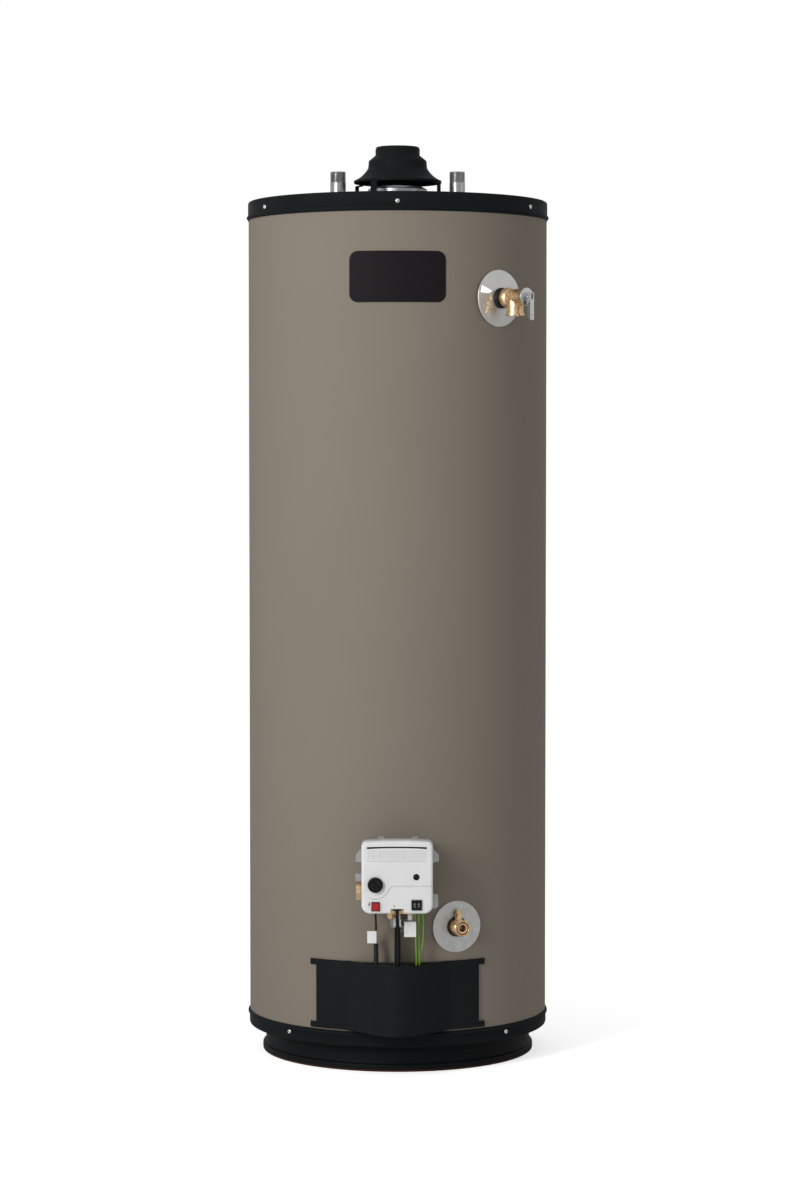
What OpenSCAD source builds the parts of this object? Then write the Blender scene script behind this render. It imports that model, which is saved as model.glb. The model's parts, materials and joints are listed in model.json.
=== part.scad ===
// Gas-fired storage water heater: steel jacket round a foamed tank, with a centre
// flue and draft hood, a relief valve, a drain valve and a front gas control.
// Millimetres. Origin on the tank axis at the floor, +Z up, the front faces -Y.

/* [Jacket and pans] */
// Outer radius of the steel jacket
jacket_r = 254; // [246:1:270]
// Sheet thickness of the jacket
jacket_wall = 0.8; // [0.5:0.1:1.2]
// Height of the top face of the top pan above the floor
body_top = 1448.3; // [1440:1:1600]
// Sheet thickness of the top and bottom pans
pan_wall = 0.8; // [0.6:0.1:1.2]
// Height of the top pan's rim
top_rim_h = 31.8; // [26:0.5:45]
// Height of the underside of the bottom pan above the floor
bottom_pan_z = 44.5; // [36:0.5:50]
// Height of the bottom pan's rim
bottom_rim_h = 26; // [22:0.5:27]
// How far the rolled bead of each pan stands proud of its rim
bead_out = 2.4; // [1:0.2:2.8]
// Corner radius between a pan's rim and its face
pan_corner = 4; // [2:0.5:8]
// Head radius of the pan screws
screw_head_r = 3.9; // [3:0.1:4.4]

/* [Base ring] */
// How far the base ring's neck stands in from the jacket
base_inset = 27.5; // [26:0.5:30]
// Wall of the base ring
base_wall = 3; // [2:0.5:5]
// How far the foot flares out past the neck
foot_flare = 5.5; // [3:0.5:12]
// Height of the flared foot
foot_h = 16; // [12:1:20]
// Width of one air inlet slot in the neck
inlet_w = 26; // [14:1:34]

/* [Tank] */
// Thickness of the foam between tank and jacket
foam_t = 25; // [22:0.5:30]
// Plate thickness of the tank
tank_wall = 2.6; // [2:0.1:3.4]
// Dish radius of both tank heads
dish_r = 600; // [560:10:700]
// Depth of the top head's crown below the top pan's face
crown_drop = 32.3; // [28:0.5:44]
// Height of the rim of the bottom head above the floor
chamber_top = 200; // [190:1:206]
// Outer radius of a welded spud
spud_r = 18.5; // [17:0.5:18.5]
// Length of the anode rod below its plug
anode_l = 1000; // [600:10:1060]
// Radius of the anode rod
anode_r = 10.5; // [8:0.5:12]

/* [Flue and draft hood] */
// Outer radius of the flue tube
flue_r = 50.8; // [46:0.2:52]
// Wall of the flue tube
flue_wall = 2.5; // [1.6:0.1:3.2]
// How far the flue tube stands above the top pan
flue_proud = 26.7; // [20:0.5:28]
// Width of the flue baffle strip
baffle_w = 84; // [60:1:86]
// Radius of the hood's vent collar, for a 76 mm vent connector
vent_r = 37.8; // [36:0.1:38]
// Height of the straight land of the vent collar
vent_land = 10; // [8:0.5:12]
// Radius of the hood's bottom rim
hood_rim_r = 75; // [75:0.5:78]
// Height of the hood's top lip above the top pan
hood_h = 94.7; // [92:0.1:100]
// Sheet thickness of the hood
hood_wall = 0.9; // [0.6:0.1:1.2]
// Radius at which the hood's legs stand
leg_r = 81; // [79:0.5:84]
// Width of a hood leg
leg_w = 12; // [8:0.5:16]

/* [Water connections] */
// Distance between the centres of the two nipples
nipple_spacing = 203.2; // [190:1:230]
// Outer radius of a nipple
nipple_r = 13.35; // [12.5:0.05:13.4]
// Wall of a nipple
nipple_wall = 2.9; // [2.2:0.1:3.2]
// How far a nipple stands above the top pan
nipple_proud = 52.7; // [45:0.5:70]
// Length of the threaded end of a nipple
thread_l = 20; // [14:0.5:24]
// Height of the dip tube's lower end above the floor
dip_end_z = 330; // [290:5:700]

/* [Badge] */
// Width of the badge, across its chord
badge_w = 157.4; // [100:1:180]
// Height of the badge
badge_h = 83.3; // [50:1:110]
// Corner radius of the badge
badge_corner = 14; // [4:1:20]
// Height of the badge's centre above the floor
badge_z = 1309.6; // [1000:1:1340]

/* [Relief valve] */
// Bearing of the relief valve, from the front towards +X
tp_theta = 41; // [36:1:60]
// Height of the relief valve's axis above the floor
tp_z = 1277; // [1100:1:1300]
// Outer radius of the relief valve's wall plate
tp_plate_r = 47; // [40:0.5:52]
// Outer radius of the relief valve's body
tp_body_r = 13.8; // [13:0.1:14.4]
// Length of the relief valve's body outside the jacket
tp_body_l = 66; // [64:0.5:72]
// Radius of the threaded outlet's bore
tp_outlet_r = 11.7; // [10:0.1:12]
// Depth of the outlet's end face below the valve's axis
tp_drop = 30; // [28:0.5:36]
// Length of the lever below the valve's axis
lever_l = 38; // [32:0.5:60]
// Width of the lever
lever_w = 8.4; // [8:0.1:12]
// Sheet thickness of the lever
lever_t = 1; // [0.8:0.1:1.2]
// Radius of the lever's hinge pin
pin_r = 1; // [0.8:0.1:1.2]
// Eccentricity of the lever's cam, which is its lift in a radian
cam_throw = 2; // [1:0.1:2.2]
// Radius of the valve stem
tp_stem_r = 2.5; // [2:0.1:2.8]

/* [Drain valve] */
// Bearing of the drain valve, from the front towards +X
drain_theta = 22.5; // [20:0.5:34]
// Height of the drain valve's axis above the floor
drain_z = 243; // [240:1:262]
// Outer radius of the drain valve's wall plate
drain_plate_r = 42.5; // [36:0.5:44]
// Radius of the hose thread
hose_r = 13.5; // [13:0.1:13.8]
// Length of the hose thread
hose_l = 12; // [10:0.5:16]
// Radius of the drain valve's ball
ball_r = 9.2; // [8:0.1:9.4]
// Radius of the drain valve's stem
drain_stem_r = 3.5; // [2.5:0.1:4]

/* [Gas control] */
// Height of the gas control's axis above the floor
gas_z = 338; // [334:1:380]
// Width of the gas control's cover
cover_w = 115; // [108:1:124]
// Height of the gas control's cover
cover_h = 118.5; // [116:0.5:126]
// Wall of the gas control's cover
cover_wall = 2; // [1.6:0.1:2.4]
// Distance from the jacket to the cover's upper front face
cover_out = 83; // [80:0.5:90]
// How far the cover's upper panel stands proud of its lower face
panel_step = 2; // [1:0.2:3]
// Radius of the temperature knob
knob_r = 12.25; // [10:0.25:13]
// Travel of the temperature knob when it is pushed
knob_push = 4; // [2:0.5:4.5]
// Radius of the temperature knob's shaft
shaft_r = 3; // [2:0.1:4]
// Radius of the status light
light_r = 5.15; // [3:0.05:7]
// Width of the igniter button
button_w = 10.5; // [8:0.1:12]
// Height of the igniter button
button_h = 11.9; // [9:0.1:12]
// Travel of the igniter button
button_push = 4; // [2:0.5:5]
// Width and height of the sensor connector
plug_size = 16.4; // [12:0.1:18]
// Across-flats size of the gas inlet's hexagon
inlet_af = 27; // [24:0.5:29]
// Radius of the gas inlet's threaded bore
inlet_r = 9.2; // [7:0.1:9.4]
// Reach of the thermostat probe into the tank
probe_l = 120; // [60:5:150]

/* [Outer door] */
// Height of the door's lower edge above the floor
door_z = 73; // [72:0.5:76]
// Height of the door
door_h = 114; // [110:1:118]
// Half width of the door's raised part
door_half = 119.5; // [112:0.5:124]
// Wall of the door
door_wall = 2.5; // [1.5:0.1:3]
// How far the door's nose stands out from the jacket at its upper edge
nose_top_out = 47; // [47:0.5:56]
// How far the door's nose stands out from the jacket at its lower edge
nose_low_out = 60; // [52:0.5:70]

/* [Burner] */
// Radius of the burner head
burner_r = 95; // [70:1:98]
// Half width of the burner access plate
access_half = 80; // [78:1:82]
// Radius of the gas tube to the burner
manifold_r = 4.75; // [4:0.05:5]
// Radius of the gas tube to the pilot
pilot_tube_r = 3.2; // [2:0.1:3.4]

/* [Leads] */
// Radius of the ignition wire
ignition_r = 1.7; // [1:0.1:2]
// Outer radius of the ignition wire's sleeve
sleeve_r = 3.9; // [3:0.1:4.2]
// Radius of the thermopile lead
lead_r = 2.9; // [2:0.1:3.2]
// Outer radius of the corrugated conduit
conduit_r = 5.4; // [4.6:0.1:5.8]
// Radius of a green wire
green_r = 1; // [0.6:0.1:1.1]

/* [Hidden] */

$fn = 120;
// Segments of a circle inside a hull
hull_fn = 32;
// Segments of a dished head's long arc
dish_fn = 360;
// Length by which a cut runs past the face it opens
over = 1;

// Clearances
seat_gap = 0.3;
slip = 0.2;
run_gap = 0.06;
slide_gap = 0.15;

// Radii from the jacket inwards
base_neck_r = jacket_r - base_inset;
bottom_pan_hole_r = base_neck_r - base_wall - 18.5;
jacket_in = jacket_r - jacket_wall;
pan_r = jacket_r + slip + pan_wall;
tank_r = jacket_in - foam_t;
tank_in = tank_r - tank_wall;

// Tank heads: the centres of their dishes and the height of the top head's rim
crown_z = body_top - crown_drop;
top_dish_z = crown_z - dish_r;
top_head_rim = top_dish_z + sqrt(dish_r * dish_r - tank_in * tank_in);
low_dish_z = chamber_top - sqrt(dish_r * dish_r - tank_in * tank_in);
flange_h = 8;
pan_floor = bottom_pan_z + pan_wall;
spud_h = 12;
thread_r = 13;
spud_bore_r = thread_r + seat_gap;
function dish_top(r) = top_dish_z + sqrt(dish_r * dish_r - r * r);

// Pans
bead_r = 3;
bead_up = 5;
pan_hole_gap = 1.6;
top_screws = [0, 60, 120, 180, 240, 300];
bottom_screws = [45, 135, 225, 315];
top_screw_z = body_top - 16.3;
bottom_screw_z = bottom_pan_z + 14;
screw_shank_r = 1.6;
screw_l = 9;

// Anode
anode_y = 120;
anode_hex_af = 27;
anode_hex_h = 10;
anode_cap_r = 21;

// Nipples
nipple_x = nipple_spacing / 2;
nipple_top = body_top + nipple_proud;
spud_top = dish_top(nipple_x) + spud_h;
dip_r = nipple_r - nipple_wall - 1.3;
dip_wall = 1.2;

// Hood
leg_bearings = [-30, 60, 150, 240];
leg_t = 1;
flare_r = 48.7;

// Relief valve, along its own axis from the jacket
tp_out = 39;
tp_seat = 22;
dome_r = 16.8;
dome_at = 23;
grommet_out = 12.5;
tp_chamber_r = 11.2;
tp_inlet_bore = 9;
tp_spud_end = -16;
grommet_r = 19.2;
tp_face = tp_body_l + 2;
pin_out = tp_face + 5;
lever_depth = 7;
cam_r = pin_out - tp_face - seat_gap;
spring_r = 7.5;
spring_wire = 1.1;
spring_turns = 5;

// Drain valve, along its own axis from the jacket
ball_out = 8;
hose_start = 14;
drain_bore = 6.2;
boss_r = 5.85;
boss_top = 22;
drain_spud_r = 16.6;
drain_hole_r = 17.4;

// Gas control, along its own axis from the jacket
plate_out = 39;
plate_t = 4;
cover_back = plate_out + plate_t + seat_gap;
lower_face = cover_out - panel_step;
cover_x = -0.5;
cover_y = -0.25;
slab_back = 12;
slab_w = cover_w - 8;
slab_h = 108;
core_w = 90;
core_front = 68;
knob_at = [-35.8, -12.2];
knob_back = cover_out - 6;
knob_depth = 13;
knob_angle = 130;
lobe_r = 22.8;
swoosh_y = -14;
swoosh_fillet = 12;
light_at = [30.4, 0.5];
button_at = [-35.45, -47.65];
bezel_rim = 1.6;
plug_at = [30.95, -45.3];
inlet_y = -30;
inlet_out = 27;
inlet_l = 8;
shank_r = 13.2;
stand_r = 20;
block_x = [-15, 29];
block_h = 12;
main_out_x = -0.5;
main_out = 19;
pilot_out_x = 20;
pilot_out = 22;
block_bottom = cover_y - slab_h / 2 - slip - block_h;
neck_h = 4;
neck_af = 15;
nut_h = 14;
nut_af = 20.5;
nut_sleeve_h = 5.5;
nut_sleeve_r = 7.5;
pilot_nut_af = 11;
pilot_nut_h = 9;
plug_x = -11.8;
plug_out = 28;
plug_af = 10;
plug_h = 9;

// Outer door
door_seat_r = jacket_r + 0.4;
shoulder_r = door_seat_r + 2.6;
ear_deg = 2.5;
door_edge = 31.7;
ear_h = 9.5;

// Burner access
access_low = 78;
access_high = 182;
window_half = 62;
window_low = 88;
window_high = 172;
gasket_t = 2.7;
access_t = 1.2;
access_r = tank_r + seat_gap + gasket_t + seat_gap;
access_screw_deg = 17.5;
access_screw_in = 5;
jacket_window = access_half + 8;

// Routes of the tubes and leads, drawn for a jacket of 254 mm: outside the tank they
// move with the jacket's front, and inside it they stretch in proportion
function fitted(route, drawn = 254) = [
    for (p = route) [p[0], p[1] - (jacket_r - drawn) * min(1, -p[1] / (drawn - 23)), p[2]]
];
manifold_route = fitted([
    [-0.5, -273, 266], [-0.5, -273, 244], [-0.5, -273, 216], [-0.5, -273, 192],
    [-0.5, -273, 168], [-0.5, -273, 144], [-0.5, -271, 126], [-0.5, -264, 110],
    [-0.5, -250, 100], [-0.5, -232, 98], [-0.4, -208, 98], [-0.2, -184, 98], [0, -160, 98],
    [0, -136, 98], [0, -112, 98], [0, -88, 98], [0, -64, 98], [0, -40, 98], [0, -20, 98],
    [0, -4, 98]
]);
pilot_route = fitted([
    [20, -276, 267], [20, -276, 257], [18.4, -273, 250], [12, -266, 243], [5, -262, 236],
    [1, -261, 228], [0, -261, 214], [0, -261, 198], [0, -261, 182], [1, -261, 170],
    [5, -261, 158], [12, -260, 147], [18, -256, 137], [21.5, -249, 129], [22.5, -240, 125],
    [23, -226, 124], [24, -208, 124], [25, -190, 124], [26, -172, 124], [26, -154, 124],
    [26, -138, 124], [26, -122, 124]
]);
ignition_route = fitted([
    [-35.5, -316, 282], [-35.5, -315, 276], [-35.5, -309, 268], [-35.4, -300, 261],
    [-35.3, -290, 256], [-35.2, -281, 251], [-35.2, -277, 244], [-35.2, -277, 234],
    [-35.2, -277, 224], [-35.2, -277, 212], [-35.2, -277, 200], [-35.2, -277, 188],
    [-35.2, -276, 176], [-35, -272, 164], [-34, -264, 152], [-32, -252, 141],
    [-30, -240, 136], [-30, -230, 135], [-28, -216, 135], [-22, -196, 135],
    [-15, -174, 135], [-8, -154, 135], [0, -136, 135], [6, -122, 135]
]);
thermopile_route = fitted([
    [-0.8, -318, 286], [-0.8, -316, 279], [-0.7, -310, 270], [-0.4, -300, 262],
    [-0.1, -292, 256], [0, -289, 250], [0, -289, 236], [0, -289, 220], [0, -289, 204], [0, -289, 186],
    [0, -289, 172], [4.5, -286, 157], [8.5, -274.5, 141], [8.8, -257, 130.5], [8, -240, 128],
    [8, -226, 128], [9, -206, 128], [11, -184, 128], [12, -160, 128], [13, -140, 128],
    [14, -122, 128]
]);
green_routes = [
    fitted([[28.8, -318, 283], [28.8, -316, 276], [28.9, -303, 268], [29, -289, 262], [29.2, -287, 254],
     [29.3, -287, 244], [29.5, -285, 232], [29.8, -282, 220], [30.2, -279, 208], [30.7, -276, 194],
     [30.5, -274, 180], [30, -268, 166], [28.8, -250, 153], [28.8, -238, 149], [28.8, -230, 149]]),
    fitted([[34.3, -318, 283], [34.3, -316, 276], [34.4, -304, 266], [34.4, -288, 257], [34.5, -279, 248],
     [34.7, -277, 236], [35, -276, 222], [35.4, -275, 208], [35.9, -273, 194],
     [35, -270, 180], [33, -264, 167], [31.4, -250, 153], [31.3, -238, 149], [31.3, -230, 149]]),
    fitted([[39, -318, 283], [40.2, -315, 276], [41.4, -303, 266], [41.6, -288, 257], [41.8, -279, 248],
     [41.9, -275, 236], [41.2, -274, 222], [38.7, -272, 208], [37.8, -270, 196],
     [37, -266, 184], [34, -260, 172], [31, -250, 160], [30, -240, 152.5], [30, -230, 151.6]])
];
conduit_top = 250;
conduit_low = 174;
rib_pitch = 3;
sleeve_top = 221;
sleeve_low = 187;

// ---------- helpers ----------

// A frame on the tank's side: +z points outwards, +y up and +x to the right
module radial(theta, z, r) {
    rotate([0, 0, theta])
        translate([0, -r, z])
            rotate([90, 0, 0])
                children();
}

module rod(r, z0, z1) {
    translate([0, 0, z0]) cylinder(r = r, h = z1 - z0);
}

module hex_bar(across_flats, z0, z1) {
    translate([0, 0, z0]) cylinder(r = across_flats / sqrt(3), h = z1 - z0, $fn = 6);
}

module block(x0, x1, y0, y1, z0, z1) {
    translate([x0, y0, z0]) cube([x1 - x0, y1 - y0, z1 - z0]);
}

module pipe(r_out, r_in, z0, z1) {
    difference() {
        rod(r_out, z0, z1);
        rod(r_in, z0 - over, z1 + over);
    }
}

module round_rect(w, h, r) {
    square([w - 2 * r, h], center = true);
    square([w, h - 2 * r], center = true);
    for (sx = [-1, 1], sy = [-1, 1])
        translate([sx * (w / 2 - r), sy * (h / 2 - r)]) circle(r = r);
}

// Sheet metal: a path and its copy moved by the thickness to the right of travel
function right_of(a, b) = let (d = (b - a) / norm(b - a)) [d[1], -d[0]];
function miter(p, i) =
    let (
        last = len(p) - 1,
        n0 = right_of(p[max(i - 1, 0)], p[max(i, 1)]),
        n1 = right_of(p[min(i, last - 1)], p[min(i + 1, last)])
    )
    (n0 + n1) / (1 + n0 * n1);
function sheet(p, t) = concat(p, [for (i = [len(p) - 1:-1:0]) p[i] + t * miter(p, i)]);
function arc(c, r, a0, a1, steps) =
    [for (k = [0:steps]) c + r * [cos(a0 + (a1 - a0) * k / steps), sin(a0 + (a1 - a0) * k / steps)]];

module turned_sheet(path, t) {
    rotate_extrude() polygon(sheet(path, t));
}

// A round bar swept along a route: one ring of points at each route point
function unit(v) = v / norm(v);
function heading(p, i) = unit(p[min(i + 1, len(p) - 1)] - p[max(i - 1, 0)]);
function ring(c, t, r, n, ref) =
    let (a = unit(cross(t, ref)), b = cross(t, a))
    [for (k = [0:n - 1]) c + r * cos(360 * k / n) * a + r * sin(360 * k / n) * b];
module swept(route, r, sides = 8, ref = [1, 0, 0]) {
    last = len(route) - 1;
    points = [for (i = [0:last]) each ring(route[i], heading(route, i), r, sides, ref)];
    walls = [
        for (i = [0:last - 1], k = [0:sides - 1])
            let (a = i * sides + k, b = a + sides)
            let (d = i * sides + (k + 1) % sides, c = d + sides)
            each [[a, b, c], [a, c, d]]
    ];
    caps = [[for (k = [0:sides - 1]) k], [for (k = [sides - 1:-1:0]) last * sides + k]];
    polyhedron(points, concat(walls, caps), convexity = 6);
}

function chord(r, x) = sqrt(r * r - x * x);

// Frames of the three side fittings
module at_tp() { radial(tp_theta, tp_z, jacket_r) children(); }
module at_drain() { radial(drain_theta, drain_z, jacket_r) children(); }
module at_gas() { radial(0, gas_z, jacket_r) children(); }

// ---------- casing ----------

module jacket() {
    color("#857c71")
    difference() {
        pipe(jacket_r, jacket_in, bottom_pan_z + pan_corner + seat_gap,
             body_top - pan_corner - seat_gap);
        at_tp() rod(grommet_r + 1, -foam_t, foam_t);
        at_drain() rod(drain_hole_r, -foam_t, foam_t);
        at_gas() rod(shank_r + 4, -foam_t, foam_t);
        block(-jacket_window, jacket_window, -jacket_r - over, -jacket_r / 2,
              access_low - 3, access_high + 3);
        for (a = top_screws) radial(a, top_screw_z, jacket_r) rod(screw_shank_r + slip, -10, 10);
        for (a = bottom_screws) radial(a, bottom_screw_z, jacket_r) rod(screw_shank_r + slip, -10, 10);
    }
}

bead_half = acos((bead_r - bead_out) / bead_r);
function bead(z) = arc([pan_r - bead_r + bead_out, z], bead_r, bead_half, -bead_half, 8);

module top_pan() {
    flue_hole = flue_r + seat_gap;
    path = concat(
        [[flue_hole, body_top]],
        arc([pan_r - pan_corner, body_top - pan_corner], pan_corner, 90, 0, 4),
        bead(body_top - top_rim_h + bead_up),
        [[pan_r, body_top - top_rim_h]]
    );
    color("#232729")
    difference() {
        turned_sheet(path, pan_wall);
        for (s = [-1, 1]) translate([s * nipple_x, 0, 0])
            rod(nipple_r + pan_hole_gap, body_top - pan_corner, body_top + over);
        translate([0, anode_y, 0]) rod(anode_cap_r, body_top - pan_corner, body_top + over);
        for (a = top_screws) radial(a, top_screw_z, pan_r) rod(screw_shank_r + slip, -3, 3);
    }
}

module bottom_pan() {
    path = concat(
        [[pan_r, bottom_pan_z + bottom_rim_h]],
        bead(bottom_pan_z + bottom_rim_h - bead_up),
        arc([pan_r - pan_corner, bottom_pan_z + pan_corner], pan_corner, 0, -90, 4),
        [[bottom_pan_hole_r, bottom_pan_z]]
    );
    color("#232729")
    difference() {
        turned_sheet(path, pan_wall);
        for (a = bottom_screws) radial(a, bottom_screw_z, pan_r) rod(screw_shank_r + slip, -3, 3);
    }
}

module pan_screws(bearings, z) {
    color("#c9c9c6")
    for (a = bearings) radial(a, z, pan_r) {
        rotate_extrude() {
            intersection() {
                translate([0, seat_gap - 2.4]) circle(r = 4.6);
                translate([0, seat_gap]) square([screw_head_r, 3]);
            }
        }
        rod(screw_shank_r, -screw_l, seat_gap);
    }
}

module top_pan_screws() { pan_screws(top_screws, top_screw_z); }
module bottom_pan_screws() { pan_screws(bottom_screws, bottom_screw_z); }

module base_ring() {
    foot_r = base_neck_r + foot_flare;
    neck_in = base_neck_r - base_wall;
    lip_r = 2.5;
    color("#1d1f21")
    difference() {
        rotate_extrude() polygon(concat(
            [[neck_in, 0], [neck_in, bottom_pan_z], [base_neck_r, bottom_pan_z],
             [base_neck_r, foot_h]],
            arc([foot_r - 0.35 * foot_flare, foot_h], 0.65 * foot_flare, 180, 270, 4),
            arc([foot_r - lip_r, foot_h - 0.65 * foot_flare - lip_r], lip_r, 90, 0, 4),
            [[foot_r, lip_r]],
            arc([foot_r - lip_r, lip_r], lip_r, 0, -90, 4)
        ));
        for (a = [105:15:255]) radial(a, bottom_pan_z - 14, base_neck_r)
            translate([0, 0, -base_wall - over])
                linear_extrude(base_wall + 2 * over) round_rect(inlet_w, 9, 4);
        // A small drain notch under the foot
        radial(39, 0, foot_r) translate([0, 0, -base_wall]) linear_extrude(2 * base_wall)
            round_rect(7, 5, 1);
    }
}

module foam_insulation() {
    low = chamber_top + 5;
    high = body_top - pan_wall - seat_gap;
    color("#cdbb7c")
    difference() {
        rotate_extrude() difference() {
            translate([0, low]) square([jacket_in - seat_gap, high - low]);
            translate([jacket_in - pan_corner, high - pan_corner]) square(2 * pan_corner);
            translate([0, low - over])
                square([tank_r + seat_gap, top_head_rim + flange_h + seat_gap - low + over]);
            intersection() {
                translate([0, top_dish_z]) circle(r = dish_r + seat_gap, $fn = dish_fn);
                translate([0, top_head_rim]) square([tank_r, crown_drop + flange_h + 60]);
            }
        }
        rod(flue_r + seat_gap, crown_z - 60, body_top);
        for (p = [[-nipple_x, 0], [nipple_x, 0], [0, anode_y]]) translate([p[0], p[1], 0]) {
            rod(spud_r + seat_gap, top_head_rim, dish_top(norm(p)) + spud_h + seat_gap);
            rod(anode_cap_r + seat_gap, dish_top(norm(p)) + spud_h, body_top);
        }
        at_tp() rod(grommet_r + seat_gap, -foam_t - 5, over);
        at_drain() rod(drain_spud_r + seat_gap, -foam_t - 5, over);
        at_gas() rod(spud_r + seat_gap, -foam_t - 5, over);
        for (a = top_screws) radial(a, top_screw_z, jacket_r) rod(screw_shank_r + slip, -12, 0);
    }
}

module skirt_insulation() {
    color("#d9c65a")
    difference() {
        pipe(jacket_in - seat_gap, tank_r + seat_gap, bottom_pan_z + pan_corner + seat_gap,
             chamber_top + 4.7);
        block(-jacket_window, jacket_window, -jacket_r - over, -jacket_r / 2,
              access_low - 3, access_high + 3);
        for (a = bottom_screws) radial(a, bottom_screw_z, jacket_r) rod(screw_shank_r + slip, -12, 0);
    }
}

// ---------- tank ----------

module dish(centre_z, rim_z) {
    intersection() {
        difference() {
            translate([0, centre_z]) circle(r = dish_r, $fn = dish_fn);
            translate([0, centre_z]) circle(r = dish_r - tank_wall, $fn = dish_fn);
        }
        translate([0, rim_z - tank_wall]) square([tank_in + tank_wall / 2, 90]);
    }
}

module tank_shell() {
    top_edge = top_head_rim + flange_h;
    side_spud = tank_wall + 1;
    color("#4a4d50")
    difference() {
        union() {
            rotate_extrude() {
                translate([tank_in, pan_floor]) square([tank_wall, top_edge - pan_floor]);
                dish(top_dish_z, top_head_rim);
                dish(low_dish_z, chamber_top);
            }
            for (p = [[-nipple_x, 0], [nipple_x, 0], [0, anode_y]]) translate([p[0], p[1], 0])
                rod(spud_r, dish_top(norm(p) + spud_r) - tank_wall - 1, dish_top(norm(p)) + spud_h);
            radial(tp_theta, tp_z, tank_r) rod(spud_r, -side_spud, foam_t + tp_spud_end);
            radial(drain_theta, drain_z, tank_r) rod(drain_spud_r, -side_spud, foam_t - 3);
            radial(0, gas_z, tank_r) rod(spud_r, -side_spud, foam_t - 6);
        }
        rod(flue_r + slip, chamber_top, crown_z + over);
        for (p = [[-nipple_x, 0], [nipple_x, 0], [0, anode_y]]) translate([p[0], p[1], 0])
            rod(spud_bore_r, top_head_rim - 20, body_top);
        radial(tp_theta, tp_z, tank_r) rod(spud_bore_r, -12, foam_t);
        radial(drain_theta, drain_z, tank_r) rod(spud_bore_r, -12, foam_t);
        radial(0, gas_z, tank_r) rod(spud_bore_r, -12, foam_t);
        block(-window_half, window_half, -tank_r - over, -tank_r / 2, window_low, window_high);
        for (a = [-1, 1], z = [access_low + access_screw_in, access_high - access_screw_in])
            radial(a * access_screw_deg, z, tank_r) rod(2.2, -6, 6);
    }
}

module flue_tube() {
    top = body_top + flue_proud;
    bevel_r = flue_r - 8.5;
    low = low_dish_z + sqrt(dish_r * dish_r - flue_r * flue_r) - 12;
    color("#b9bcbe")
    turned_sheet([[bevel_r, top], [flue_r - 1.5, top - 3.4], [flue_r, top - 5], [flue_r, low]],
                 flue_wall);
}

module flue_baffle() {
    lift = 220;
    half = flue_r - flue_wall - seat_gap;
    top = body_top + flue_proud - 10;
    low = chamber_top + lift;
    t = 1.5;
    fins = 8;
    step = (top - low - 60) / fins;
    color("#8a8d8f")
    union() {
        block(-half, half, -3, 3, top - 10, top);
        block(-baffle_w / 2, baffle_w / 2, -t / 2, t / 2, low, top - 5);
        for (k = [0:fins - 1], s = [-1, 1])
            translate([s * baffle_w / 4, 0, low + step * (k + 0.5)])
                rotate([s * 40, 0, 0])
                    block(-14, 14, -t / 2, t / 2, -20, 20);
    }
}

module nipple(x) {
    plain_low = spud_top + seat_gap;
    chamfer = 1.5;
    color("#a9abad")
    translate([x, 0, 0])
        difference() {
            union() {
                rod(thread_r, spud_top - spud_h - 4, plain_low);
                rod(nipple_r, plain_low, nipple_top - thread_l);
                rod(thread_r, nipple_top - thread_l, nipple_top - chamfer);
                translate([0, 0, nipple_top - chamfer])
                    cylinder(r1 = thread_r, r2 = thread_r - chamfer, h = chamfer);
            }
            rod(nipple_r - nipple_wall, spud_top - spud_h - 5, nipple_top + over);
        }
}

module cold_nipple() { nipple(nipple_x); }
module hot_nipple() { nipple(-nipple_x); }

module dip_tube() {
    bore = nipple_r - nipple_wall;
    top = nipple_top - 12;
    color("#d8d5c8")
    translate([nipple_x, 0, 0])
        difference() {
            union() {
                rod(dip_r, dip_end_z, top);
                rod(bore - slip, top - 8, top);
            }
            rod(dip_r - dip_wall, dip_end_z - over, top + over);
            translate([0, 0, spud_top - 60]) rotate([90, 0, 0]) cylinder(r = 2, h = 3 * dip_r);
        }
}

module anode_rod() {
    spud_face = dish_top(anode_y) + spud_h;
    color("#9d9fa0")
    translate([0, anode_y, 0]) {
        rod(anode_r, spud_face - anode_l, spud_face);
        rod(thread_r, spud_face - spud_h, spud_face);
        hex_bar(anode_hex_af, spud_face + seat_gap, spud_face + anode_hex_h);
        rod(anode_r, spud_face, spud_face + over);
    }
}

module anode_cap() {
    color("#202325")
    translate([0, anode_y, 0])
        difference() {
            union() {
                rod(anode_cap_r + 3, body_top + slip, body_top + 2.2);
                rod(anode_cap_r - seat_gap, body_top - 8, body_top + 2.2);
            }
            rod(anode_cap_r - 2, body_top - 9, body_top + 0.6);
        }
}

// ---------- draft hood ----------

function hood_path() = concat(
    [[vent_r - 4.2, hood_h - 2.5], [vent_r - 3.9, hood_h - 0.8], [vent_r - 2.6, hood_h],
     [vent_r - 1.4, hood_h - 0.5], [vent_r, hood_h - 4.4], [vent_r, hood_h - 4.4 - vent_land],
     [48.5, 71.6], [49.3, 70.3], [50.2, 59.1]],
    arc([50.2, 59.1] + flare_r * [cos(28.35), sin(28.35)], flare_r, 213, 247, 6),
    [[hood_rim_r, 37], [hood_rim_r - 0.7, 33.1]]
);

module draft_hood() {
    color("#202325")
    translate([0, 0, body_top]) turned_sheet(hood_path(), hood_wall);
}

module hood_legs() {
    // Inside the hood's skirt, out under its rim, down to the pan and a foot inwards
    path = [[60, 44.8], [66.5, 39.9], [70.8, 37.2], [hood_rim_r - 2.4, 32.4], [leg_r - 1.2, 31.8],
            [leg_r, 30.2], [leg_r, slip], [leg_r - 9, slip]];
    color("#202325")
    for (a = leg_bearings)
        rotate([0, 0, a])
            translate([0, 0, body_top])
                rotate([90, 0, -90])
                    translate([0, 0, -leg_w / 2])
                        linear_extrude(leg_w) polygon(sheet(path, leg_t));
}

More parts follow.
